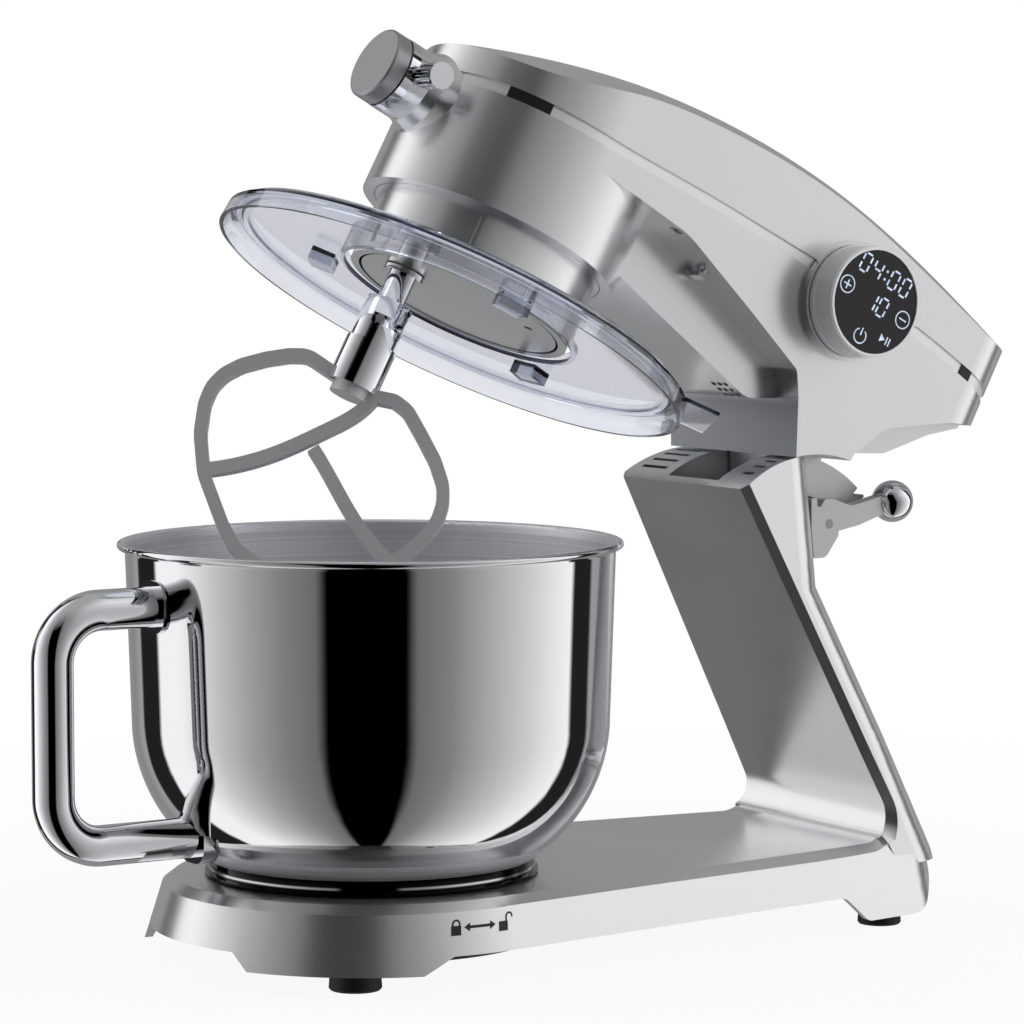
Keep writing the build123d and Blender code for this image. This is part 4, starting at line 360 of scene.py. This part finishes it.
# Moulded ABS with a pale silver coat: duller and whiter than the enamel beside it.
silver_moulding = grained("pale_silver_moulding", "f0f0f1", metallic=0.6, roughness=0.40,
                          grain_mm=0.6, grain_depth=0.006, mottle=0.03)
# Nickel and chromium plate on polished steel: a mirror, with a trace of orange peel.
chrome_plate = grained("chromium_plate", "e0e1e4", metallic=1.0, roughness=0.05,
                       grain_mm=1.5, grain_depth=0.0005, mottle=0.01, worn=0.2)
# Satin nickel, from a bath that leaves it dull: pale, with a wide soft highlight.
satin_nickel = grained("satin_nickel", "ececee", metallic=0.35, roughness=0.42,
                       grain_mm=0.8, grain_depth=0.004, mottle=0.02)

dress(silver_enamel, "stand_casting", "column_cover", "head_cover", "planet_housing",
      "planet_carrier", "display_housing")
dress(silver_moulding, "trim_band")
dress(chrome_plate, "bowl_handle", "lever_knob", "hub_ring", "output_shaft", "beater_sleeve",
      "thumb_screw")
dress(satin_nickel, "speed_ring")

# %% [markdown]
# ## Bare aluminium
# Aluminium that isn't painted shows how it was made.  Blasting leaves fine pits, anodising
# a grey skin that is nearly like paint, and turning a low, even shine.

# %% Bare aluminium
# Blasted with 0.1 mm grit, drawn at 0.5 mm: a bright grey with no clear reflection.
blasted_aluminium = grained("sand_blasted_aluminium", "c8c9cb", metallic=0.8, roughness=0.42,
                            grain_mm=0.5, grain_depth=0.03)
# Cast and anodised: the oxide scatters light, so it looks only half like a metal.
anodised_aluminium = grained("anodised_aluminium", "dededf", metallic=0.4, roughness=0.38,
                             grain_mm=0.5, grain_depth=0.01)
# Turned on a lathe and left satin.  Its darker grey is a painted reflection of the dim front of
# the room.
turned_aluminium = grained("satin_turned_aluminium", "a9aaac", metallic=0.85, roughness=0.42,
                           grain_mm=0.6, grain_depth=0.002, mottle=0.03)
# As it leaves the mould, with a grain of about 1 mm: dull and slightly uneven.
plain_casting = grained("plain_casting", "8f9092", metallic=0.9, roughness=0.5,
                        grain_mm=1.2, grain_depth=0.06)

dress(blasted_aluminium, "release_lever", "lever_bracket", "hinge_lug")
dress(anodised_aluminium, "beater")
dress(turned_aluminium, "hub_cap")
dress(plain_casting, "bowl_seat", "gear_frame", "motor_mount")

# %% [markdown]
# ## Working metals
# Shafts, gears, screws, bushes and the motor are mostly hidden, but they turn up when the
# casing is taken off, so each gets its real metal.

# %% Working metals
# Steel from a lathe or a gear cutter, lightly oiled: a clear but broken shine.
turned_steel = grained("turned_steel", "9b9c9e", metallic=1.0, roughness=0.28,
                       grain_mm=0.8, grain_depth=0.01)
# Pressed and sintered bronze powder: open pores make it dull and brown.
bronze = grained("sintered_bronze", "9c7446", metallic=1.0, roughness=0.4,
                 grain_mm=0.7, grain_depth=0.02)
# Copper wire of 0.4 mm under varnish, its turns drawn at 0.9 mm: warm and half bright.
copper = grained("enamelled_copper", "a4582f", metallic=0.8, roughness=0.35,
                 grain_mm=0.9, grain_depth=0.05)

dress(turned_steel, "column_screws", "plate_screws", "foot_screws", "pivot_pin", "lever_pin",
      "head_screws", "lug_bolts", "ring_gear", "motor_armature", "drive_pinion", "crown_gear",
      "planet_pinion", "beater_pin", "hub_shaft", "hub_pinion")
dress(bronze, "pivot_bush_near", "pivot_bush_far", "carrier_bush_low", "carrier_bush_top",
      "motor_bush_front", "motor_bush_rear", "hub_bush", "output_bush_low", "output_bush_top")
dress(copper, "motor_stator")

# %% [markdown]
# ## Rubber, plastics and display glass
# The feet are soft rubber, the base plate and the dark inlays are moulded, and the display
# is glass that is printed black behind.

# %% Rubber, plastics and display glass
# Moulded nitrile rubber with a spark-eroded skin: no shine, a little grey on its edges.
rubber = grained("black_rubber", "121213", metallic=0.0, roughness=0.62,
                 grain_mm=0.8, grain_depth=0.03)
# Moulded ABS, textured by etching the mould: a black with a soft highlight.
black_abs = grained("black_abs", "141516", metallic=0.0, roughness=0.42,
                    grain_mm=0.7, grain_depth=0.02)
# Woven glass in epoxy under a green mask: a weave of 0.4 mm, drawn at 0.8 mm.
green_board = grained("glass_epoxy_board", "1d5a38", metallic=0.0, roughness=0.4,
                      grain_mm=0.8, grain_depth=0.01)
# Float glass printed from behind: an even, deep black with sharp reflections.
black_glass = grained("black_printed_glass", "060608", metallic=0.0, roughness=0.06,
                      grain_mm=2.0, grain_depth=0.0, mottle=0.0, worn=0.1)

dress(rubber, "foot_front_near", "foot_front_far", "foot_rear_near", "foot_rear_far")
dress(black_abs, "base_plate", "band_inlays", "motor_fan")
dress(green_board, "control_board")
dress(black_glass, "display_glass")

# %% [markdown]
# ## Splash guard
# The guard is moulded from a clear copolyester in a polished mould.  Its faces are clear,
# but its rims look blue, because there the eye looks through more of the plastic.  A
# coloured pane would be blue everywhere, so the colour is taken up inside the wall instead,
# by volume absorption.

# %% Splash guard
GUARD_IOR = 1.49                        # close to the index of a clear copolyester
GUARD_TINT, TINT_DENSITY = "8f97b4", 70.0

clear_plastic = grained("clear_copolyester", "f2f4f8", metallic=0.0, roughness=0.04,
                        grain_mm=3.0, grain_depth=0.0005, mottle=0.0, worn=0.1,
                        **{"Transmission Weight": 1.0, "IOR": GUARD_IOR})
tree = clear_plastic.node_tree
taken_up = add(tree, "ShaderNodeVolumeAbsorption",
               {"Color": linear(GUARD_TINT), "Density": TINT_DENSITY})
output = next(node for node in tree.nodes if node.type == "OUTPUT_MATERIAL")
tree.links.new(taken_up.outputs[0], output.inputs["Volume"])
dress(clear_plastic, "splash_guard")

# %% [markdown]
# ## Darker neck of the head
# The neck that comes down to the column faces forward.  It is drawn rougher and a darker
# grey than the rest of the same casting.  It could be a solid of its own, but a copy of
# the enamel with a mask is enough: the mask is where the casting lies low, near the hinge,
# and faces forward.

# %% Where the neck is
NECK_ALONG = (-95 * MM, -70 * MM)       # from the hinge along the head, fading in
NECK_RISE = (92 * MM, 80 * MM)          # above the hinge, fading in downwards
NECK_FACING = (0.5, 0.75)               # cosine of the angle to straight forward

neck_enamel = silver_enamel.copy()
neck_enamel.name = "silver_enamel_darker_neck"
tree = neck_enamel.node_tree
place = add(tree, "ShaderNodeTexCoord").outputs["Object"]
spot = add(tree, "ShaderNodeVectorMath", {0: place, 1: middle("pivot_pin")},
           operation="SUBTRACT").outputs[0]
normal = add(tree, "ShaderNodeNewGeometry").outputs["Normal"]
neck = 1.0
for vector, axis, (start, full) in ((spot, head_rear, NECK_ALONG), (spot, head_up, NECK_RISE),
                                    (normal, -head_rear, NECK_FACING)):
    measure = add(tree, "ShaderNodeVectorMath", {0: vector, 1: axis}, operation="DOT_PRODUCT")
    share = add(tree, "ShaderNodeMapRange", {"Value": measure.outputs["Value"],
                                             "From Min": start, "From Max": full})
    neck = add(tree, "ShaderNodeMath", {0: neck, 1: share.outputs[0]},
               operation="MULTIPLY").outputs[0]
print("neck mask drawn about", middle("pivot_pin").to_tuple(3))

# %% [markdown]
# The mask then mixes the darker, rougher grey into the enamel.  Its border fades over one
# or two centimetres.

# %% Darker grey on the neck
NECK_ROUGHNESS = 0.5
NECK_COLOUR = "94979d"

paint = next(node for node in tree.nodes if node.type == "BSDF_PRINCIPLED")
polish = paint.inputs["Roughness"].links[0].from_socket
lacquer = paint.inputs["Base Color"].links[0].from_socket
rough = add(tree, "ShaderNodeMix", {0: neck, 2: polish, 3: NECK_ROUGHNESS})
# Where the neck mask is full, the colour becomes the darker grey NECK_COLOUR.
neck_grey = add(tree, "ShaderNodeMix", {0: neck, 6: lacquer, 7: linear(NECK_COLOUR)},
           data_type="RGBA")
tree.links.new(rough.outputs[0], paint.inputs["Roughness"])
tree.links.new(neck_grey.outputs[2], paint.inputs["Base Color"])
dress(neck_enamel, "head_casting")

# %% [markdown]
# ## Bowl
# A bowl is drawn and spun from stainless sheet.  Its outside is buffed to a mirror, and its
# inside and the band above the foot keep the fine rings of a satin finish, which run round
# the axis.  Two materials on chosen faces would leave a jagged border, so one material
# tells the two apart by height and by the side that a point faces.

# %% Where the bowl is satin
def satin_mask(tree, place, satin_top):
    """Satin share, distance from the bowl's axis and height of each point.

    A point is inside where its normal points against its way out from the axis.  It is
    satin there, and at any height below satin_top."""
    spot = add(tree, "ShaderNodeVectorMath", {0: place, 1: bowl_axis}, operation="SUBTRACT")
    out = add(tree, "ShaderNodeVectorMath", {0: spot.outputs[0], 1: (1, 1, 0)},
              operation="MULTIPLY").outputs[0]
    normal = add(tree, "ShaderNodeNewGeometry").outputs["Normal"]
    facing = add(tree, "ShaderNodeVectorMath", {0: out, 1: normal}, operation="DOT_PRODUCT")
    inside = add(tree, "ShaderNodeMath", {0: facing.outputs["Value"], 1: 0.0},
                 operation="LESS_THAN")
    height = add(tree, "ShaderNodeSeparateXYZ", {0: place}).outputs[2]
    low = add(tree, "ShaderNodeMath", {0: height, 1: satin_top}, operation="LESS_THAN")
    satin = add(tree, "ShaderNodeMath", {0: inside.outputs[0], 1: low.outputs[0]},
                operation="MAXIMUM")
    reach = add(tree, "ShaderNodeVectorMath", {0: out}, operation="LENGTH")
    return satin.outputs[0], reach.outputs["Value"], height


print("mask turns about", bowl_axis.to_tuple(3))

# %% [markdown]
# The rings come from a noise that reads only the distance from the axis and the height, so
# it is the same all the way round.  Real rings are about 0.1 mm apart, and are drawn at
# 0.5 mm.  They could be fine ridges in the mesh, but a shallow bump and a roughness that
# follows them give the same broken shine for no more faces.

# %% Bowl finish
RING_MM = 0.5                           # spacing of the satin rings
RING_DEPTH_MM, RING_STRENGTH = 0.01, 0.3
BUFFED_MM = 30                          # size of the areas that are buffed a little more
MIRROR_ROUGHNESS = (0.03, 0.045)
SATIN_ROUGHNESS = (0.36, 0.54)
SATIN_METALLIC = 0.75                   # the rings scatter light, so they look less metallic
MIRROR_COLOUR = "d5d5d7"
SATIN_COLOURS = ("dadcdf", "fafbfd")
# Painted shade on the foot ring: a multiplier on its colour from its lowest edge to its highest,
# nearly black in two bands round its middle.
FOOT_PAINTED_SHADE = [(0.0, 0.0), (0.38, 0.02), (0.44, 0.9), (0.52, 0.9), (0.58, 0.02), (1.0, 0.0)]


def bowl_steel(name, satin_top, foot=None):
    """Mirror outside, satin inside and below satin_top.

    foot is the two heights that FOOT_PAINTED_SHADE runs between, and this painted shade
    multiplies the colour."""
    made, tree = new_tree(name)
    place = add(tree, "ShaderNodeTexCoord").outputs["Object"]
    satin, reach, height = satin_mask(tree, place, satin_top)
    ring = add(tree, "ShaderNodeCombineXYZ", {0: reach, 2: height}).outputs[0]
    rings = add(tree, "ShaderNodeTexNoise",
                {"Vector": ring, "Scale": 1 / (RING_MM * MM), "Detail": 3.0}).outputs["Fac"]
    broad = add(tree, "ShaderNodeTexNoise",
                {"Vector": place, "Scale": 1 / (BUFFED_MM * MM), "Detail": 2.0}).outputs["Fac"]
    low, high = MIRROR_ROUGHNESS
    polish = add(tree, "ShaderNodeMapRange", {"Value": broad, "To Min": low, "To Max": high})
    low, high = SATIN_ROUGHNESS
    brushed = add(tree, "ShaderNodeMapRange", {"Value": rings, "To Min": low, "To Max": high})
    rough = add(tree, "ShaderNodeMix", {0: satin, 2: polish.outputs[0], 3: brushed.outputs[0]})
    dark, pale = SATIN_COLOURS
    shades = add(tree, "ShaderNodeValToRGB", {"Fac": rings},
                 stops=[(NOISE_LOW, linear(dark)), (NOISE_HIGH, linear(pale))])
    tint = add(tree, "ShaderNodeMix",
               {0: satin, 6: linear(MIRROR_COLOUR), 7: shades.outputs["Color"]},
               data_type="RGBA").outputs[2]
    if foot:
        # Painted shade: two bands of heights on the foot ring are darkened nearly to black.
        share = add(tree, "ShaderNodeMapRange",
                    {"Value": height, "From Min": foot[0], "From Max": foot[1]})
        shade = add(tree, "ShaderNodeValToRGB", {"Fac": share.outputs[0]}, stops=FOOT_PAINTED_SHADE)
        tint = add(tree, "ShaderNodeMix", {0: 1.0, 6: tint, 7: shade.outputs["Color"]},
                   data_type="RGBA", blend_type="MULTIPLY").outputs[2]
    depth = add(tree, "ShaderNodeMath", {0: rings, 1: satin}, operation="MULTIPLY")
    bump = add(tree, "ShaderNodeBump", {"Height": depth.outputs[0], "Strength": RING_STRENGTH,
                                        "Distance": RING_DEPTH_MM * MM})
    metal = add(tree, "ShaderNodeMapRange",
                {"Value": satin, "To Min": 1.0, "To Max": SATIN_METALLIC})
    skin = add(tree, "ShaderNodeBsdfPrincipled",
               {"Base Color": tint, "Metallic": metal.outputs[0],
                "Roughness": rough.outputs[0], "Normal": bump.outputs[0]})
    add(tree, "ShaderNodeOutputMaterial", {"Surface": skin.outputs[0]})
    return made


print("satin rings drawn at", RING_MM, "mm")

# %% [markdown]
# The bowl and its foot ring are the same steel.  The ring is turned, with one bright edge
# round its middle between two dark grooves.  Light alone could shade them, but the mirrors
# above and below would throw too much of the room into them, so their shade is painted
# into the colour, nearly black.

# %% Bowl and its foot
SATIN_TOP = 58 * MM                     # height of the satin band's top above the table
NO_SATIN = 0.0

foot_low, foot_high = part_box("bowl_foot")
dress(bowl_steel("buffed_stainless_steel", SATIN_TOP), "bowl")
# The foot ring's material carries painted shade in two dark bands.
dress(bowl_steel("stainless_foot_painted_shade", NO_SATIN, (foot_low.z, foot_high.z)), "bowl_foot")
print("bowl foot from", round(foot_low.z, 4), "to", round(foot_high.z, 4))

# %% [markdown]
# ## Marks as flat ribbons
# The display behind the black glass lights thin strokes, and the lock marks on the base are
# printed.  An image or a font could hold them, but strokes stay sharp at any size.  Each is
# a flat ribbon in its own plane of millimetres, and a function then lays that plane on the
# glass or round the base.

# %% Strokes and shapes
def stroke(points, width, closed=False):
    """Ribbon of even width along a flat line.

    Each point p gets two corners p +- n w/2, where n is the normal of the line there."""
    line = np.array(points, dtype=float)
    before, after = np.roll(line, 1, 0), np.roll(line, -1, 0)
    if not closed:
        before[0], after[-1] = line[0], line[-1]
    along = after - before
    along /= np.linalg.norm(along, axis=1)[:, None]
    side = np.stack([-along[:, 1], along[:, 0]], 1) * width / 2
    count = len(line)
    first = np.arange(count if closed else count - 1)
    second = (first + 1) % count
    faces = np.stack([first, second, second + count, first + count], 1)
    return np.concatenate([line - side, line + side]), faces.tolist()


def filled(points):
    """Filled flat shape with its corners in anticlockwise order."""
    return np.array(points, dtype=float), [list(range(len(points)))]


def arc(centre, radius, start, end, count):
    """Points centre + r (cos a, sin a), with a running between two angles in degrees."""
    turn = np.radians(np.linspace(start, end, count))
    return np.stack([centre[0] + radius * np.cos(turn), centre[1] + radius * np.sin(turn)], 1)


print("a quarter circle's ribbon has", len(stroke(arc((0, 0), 1, 0, 90, 7), 0.1)[1]), "faces")

# %% [markdown]
# All the strokes of one kind become one mesh, because they share a material and are printed
# at one go.  It then rides on the body that it is printed on.

# %% One piece from many shapes
def marks(name, shapes, lay, body, material):
    """One piece from flat shapes, laid in space by the function lay."""
    points, faces = [], []
    for corners, loops in shapes:
        start = sum(len(done) for done in points)
        faces += [[start + corner for corner in loop] for loop in loops]
        points.append(corners)
    mesh = bpy.data.meshes.new(name)
    mesh.from_pydata(lay(np.concatenate(points)).tolist(), [], faces)
    mesh.materials.append(material)
    piece = bpy.data.objects.new(name, mesh)
    bpy.context.scene.collection.objects.link(piece)
    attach(piece, body)
    print(name, "has", len(mesh.polygons), "faces")
    return piece


# %% [markdown]
# ## Plane of the glass
# The glass stands upright, facing sideways, and its print is square to the head.  So the
# flat plane of the marks is laid on it along the head's own axes: u runs to the rear, and v
# to the roof.

# %% Plane of the glass
MARK_GAP = 0.12 * MM                    # marks float by this, clear of what is under them

glass_middle = np.array(middle("display_glass"))
glass_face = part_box("display_glass")[0].y - MARK_GAP


def on_glass(points):
    """Points (u, v) in mm go to middle + u rear + v up, just in front of the glass."""
    across, up = points[:, :1], points[:, 1:]
    place = glass_middle + MM * (across * np.array(head_rear) + up * np.array(head_up))
    place[:, 1] = glass_face
    return place


print("glass faces", round(glass_face, 4))

# %% [markdown]
# ## Figures of the display
# The display shows a time and a speed in seven-segment figures.  A segment is named by a
# letter, clockwise from the top one, with the middle one last, and each figure lights some
# of them.  A font would draw rounder figures, without the gaps between the segments.

# %% Seven-segment figures
FIGURE_HALF = (2.5, 4.7)                # half width and half height, mm
FIGURE_LINE, FIGURE_GAP = 1.0, 0.75     # width of a segment, and what its ends are short by
FIGURE_SLANT = np.array([[1, 0], [0.08, 1]])
SEGMENTS = {"a": ((-1, 1), (1, 1)), "b": ((1, 1), (1, 0)), "c": ((1, 0), (1, -1)),
            "d": ((1, -1), (-1, -1)), "e": ((-1, -1), (-1, 0)), "f": ((-1, 0), (-1, 1)),
            "g": ((-1, 0), (1, 0))}
LIT = {"0": "abcdef", "1": "bc", "4": "bcfg"}


def digit(sign, centre):
    """Lit segments of a figure, each a stroke that stops short of both its ends.

    A point (u, v) of the upright figure leans to (u + v slant, v)."""
    strokes = []
    for name in LIT[sign]:
        start, end = np.array(SEGMENTS[name]) * FIGURE_HALF
        step = (end - start) / np.linalg.norm(end - start) * FIGURE_GAP
        line = np.array([start + step, end - step]) @ FIGURE_SLANT + centre
        strokes.append(stroke(line, FIGURE_LINE))
    return strokes


print("figure 0 has", len(digit("0", (0, 0))), "segments")

# %% [markdown]
# The time stands above the speed.  Two square dots, one over the other, part its minutes
# from its seconds.

# %% Time and speed
TIME_V, SPEED_V = 14.6, -0.5            # heights of the two rows, mm
TIME = (("0", -14.3), ("4", -6.2), ("0", 5.2), ("0", 13.3))
SPEED = (("1", -2.0), ("0", 5.2))
COLON = (-0.9, 0.3)                     # left and right end of each of its dots
COLON_RISE, DOT = 2.1, 1.2

shapes = []
for row, height in ((TIME, TIME_V), (SPEED, SPEED_V)):
    for sign, across in row:
        shapes += digit(sign, (across, height))
for rise in (-COLON_RISE, COLON_RISE):
    shapes.append(stroke([(across, TIME_V + rise) for across in COLON], DOT))
print("figures made of", len(shapes), "strokes")

# %% [markdown]
# ## Buttons of the display
# The round buttons say more and less, and below them are a power sign and play and pause.
# They are common signs, drawn here from circles and short strokes.

# %% Button signs
LINE = 0.75                             # width of a sign's strokes, mm
BUTTON_U, BUTTON_R, BUTTON_LINE = 19.4, 4.3, 0.6
SIGN_HALF = 2.4                         # half length of plus and minus
POWER, POWER_R, POWER_LINE = (-0.4, -19.0), 3.7, 0.65
POWER_BAR = (0.4, 4.4)                  # from the power ring's middle upwards
PLAY_U, PAUSE_U = (11.0, 14.2), (15.4, 17.2)
PLAY_V = (-16.0, -11.8)

for across in (-BUTTON_U, BUTTON_U):
    shapes.append(stroke(arc((across, 0), BUTTON_R, 0, 345, 32), BUTTON_LINE, closed=True))
    shapes.append(stroke([(across - SIGN_HALF, 0), (across + SIGN_HALF, 0)], LINE))
shapes.append(stroke([(-BUTTON_U, -SIGN_HALF), (-BUTTON_U, SIGN_HALF)], LINE))
shapes.append(stroke(arc(POWER, POWER_R, 120, 420, 30), POWER_LINE))
shapes.append(stroke([(POWER[0], POWER[1] + rise) for rise in POWER_BAR], LINE))
shapes.append(filled([(PLAY_U[0], PLAY_V[0]), (PLAY_U[1], sum(PLAY_V) / 2),
                      (PLAY_U[0], PLAY_V[1])]))
shapes += [stroke([(across, height) for height in PLAY_V], LINE) for across in PAUSE_U]
print("display made of", len(shapes), "shapes")

# %% [markdown]
# Light-emitting diodes shine through clear windows in the print.  They are a cool white,
# and never quite even, which a noise of 3 mm stands for.

# %% Lit display
DIODE_MM = 3

lit_marks, tree = new_tree("lit_display")
place = add(tree, "ShaderNodeTexCoord").outputs["Object"]
uneven = add(tree, "ShaderNodeTexNoise", {"Vector": place, "Scale": 1 / (DIODE_MM * MM)})
tone = add(tree, "ShaderNodeValToRGB", {"Fac": uneven.outputs["Fac"]},
           stops=[(NOISE_LOW, linear("b9cbe8")), (NOISE_HIGH, linear("e6eefb"))])
shine = add(tree, "ShaderNodeEmission", {"Color": tone.outputs["Color"], "Strength": 1.0})
add(tree, "ShaderNodeOutputMaterial", {"Surface": shine.outputs[0]})
marks("display_marks", shapes, on_glass, "head", lit_marks)

# %% [markdown]
# ## Lock marks on the base
# A shut padlock, a double arrow and an open one show which way the bowl is turned to lock
# it.  They are pad printed round the base's front, which flares out towards the table, so
# their plane is rolled round the bowl's axis: s runs round the base, and h is the height.

# %% Round the base
BASE_TOP_R = 100 * MM                   # the base's round front, at the height of its top
BASE_TOP_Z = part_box("bowl_seat")[0].z
BASE_FLARE = 0.31                       # the radius grows by this for each unit down


def on_base(points):
    """Points (s, h) in mm go round the flaring front of the base.

    The radius at a height z is R + (top - z) flare, and s is measured along the circle."""
    height = MM * points[:, 1]
    radius = BASE_TOP_R + (BASE_TOP_Z - height) * BASE_FLARE + MARK_GAP
    turn = camera_side + MM * points[:, 0] / radius
    return np.stack([bowl_axis.x + radius * np.cos(turn), bowl_axis.y + radius * np.sin(turn),
                     height], 1)


print("base's top at", round(BASE_TOP_Z, 4))

# %% [markdown]
# A padlock is a filled body and a bent stroke.  In the open one the stroke is moved and
# lifted, as if it had swung up.  The arrow's shaft has points all along it, so that it can
# follow the round base.

# %% Padlocks and arrow
MARK_H = 31.0                           # height of the marks' middle, mm
SHUT_S, ARROW_S, OPEN_S = 43.5, 56.0, 69.0
LOCK_HALF, LOCK_BOTTOM, LOCK_TOP = 2.5, -3.4, 0.9
BOW_R, BOW_RISE, BOW_LINE = 1.75, 1.6, 0.85
LEG_RISE, OPEN_LEG_RISE = 0.5, 2.2      # where the shackle's right leg ends, shut and open
OPEN_MOVE, OPEN_LIFT = 3.4, 1.0
ARROW_TIP, ARROW_NECK, ARROW_HALF = 8.4, 5.4, 1.9
SHAFT_END, SHAFT_LINE = 6.4, 1.3


def padlock(across, opened):
    """Body, and a shackle that is shut or swung up to the right."""
    left, right = across - LOCK_HALF, across + LOCK_HALF
    low, high = MARK_H + LOCK_BOTTOM, MARK_H + LOCK_TOP
    body = filled([(left, low), (right, low), (right, high), (left, high)])
    move, lift, end = (OPEN_MOVE, OPEN_LIFT, OPEN_LEG_RISE) if opened else (0, 0, LEG_RISE)
    hinge = across + move
    bow = arc((hinge, MARK_H + BOW_RISE + lift), BOW_R, 180, 0, 14)
    left_leg, right_leg = [(hinge - BOW_R, MARK_H + LEG_RISE)], [(hinge + BOW_R, MARK_H + end)]
    return [body, stroke(np.concatenate([left_leg, bow, right_leg]), BOW_LINE)]


shapes = padlock(SHUT_S, False) + padlock(OPEN_S, True)
shaft = np.linspace(ARROW_S - SHAFT_END, ARROW_S + SHAFT_END, 9)
shapes.append(stroke([(across, MARK_H) for across in shaft], SHAFT_LINE))
for side in (-1, 1):
    neck_s = ARROW_S + side * ARROW_NECK
    shapes.append(filled([(ARROW_S + side * ARROW_TIP, MARK_H),
                          (neck_s, MARK_H + side * ARROW_HALF),
                          (neck_s, MARK_H - side * ARROW_HALF)]))
print("lock marks made of", len(shapes), "shapes")

# %% [markdown]
# The marks are pad printed: a silicone pad lifts two-part ink off a plate and presses it on
# the enamel.  The ink is matt and nearly black, with a slightly uneven skin.

# %% Printed ink
print_ink = grained("black_pad_print", "17181a", metallic=0.0, roughness=0.5,
                    grain_mm=0.5, grain_depth=0.005)
marks("lock_marks", shapes, on_base, "stand", print_ink)
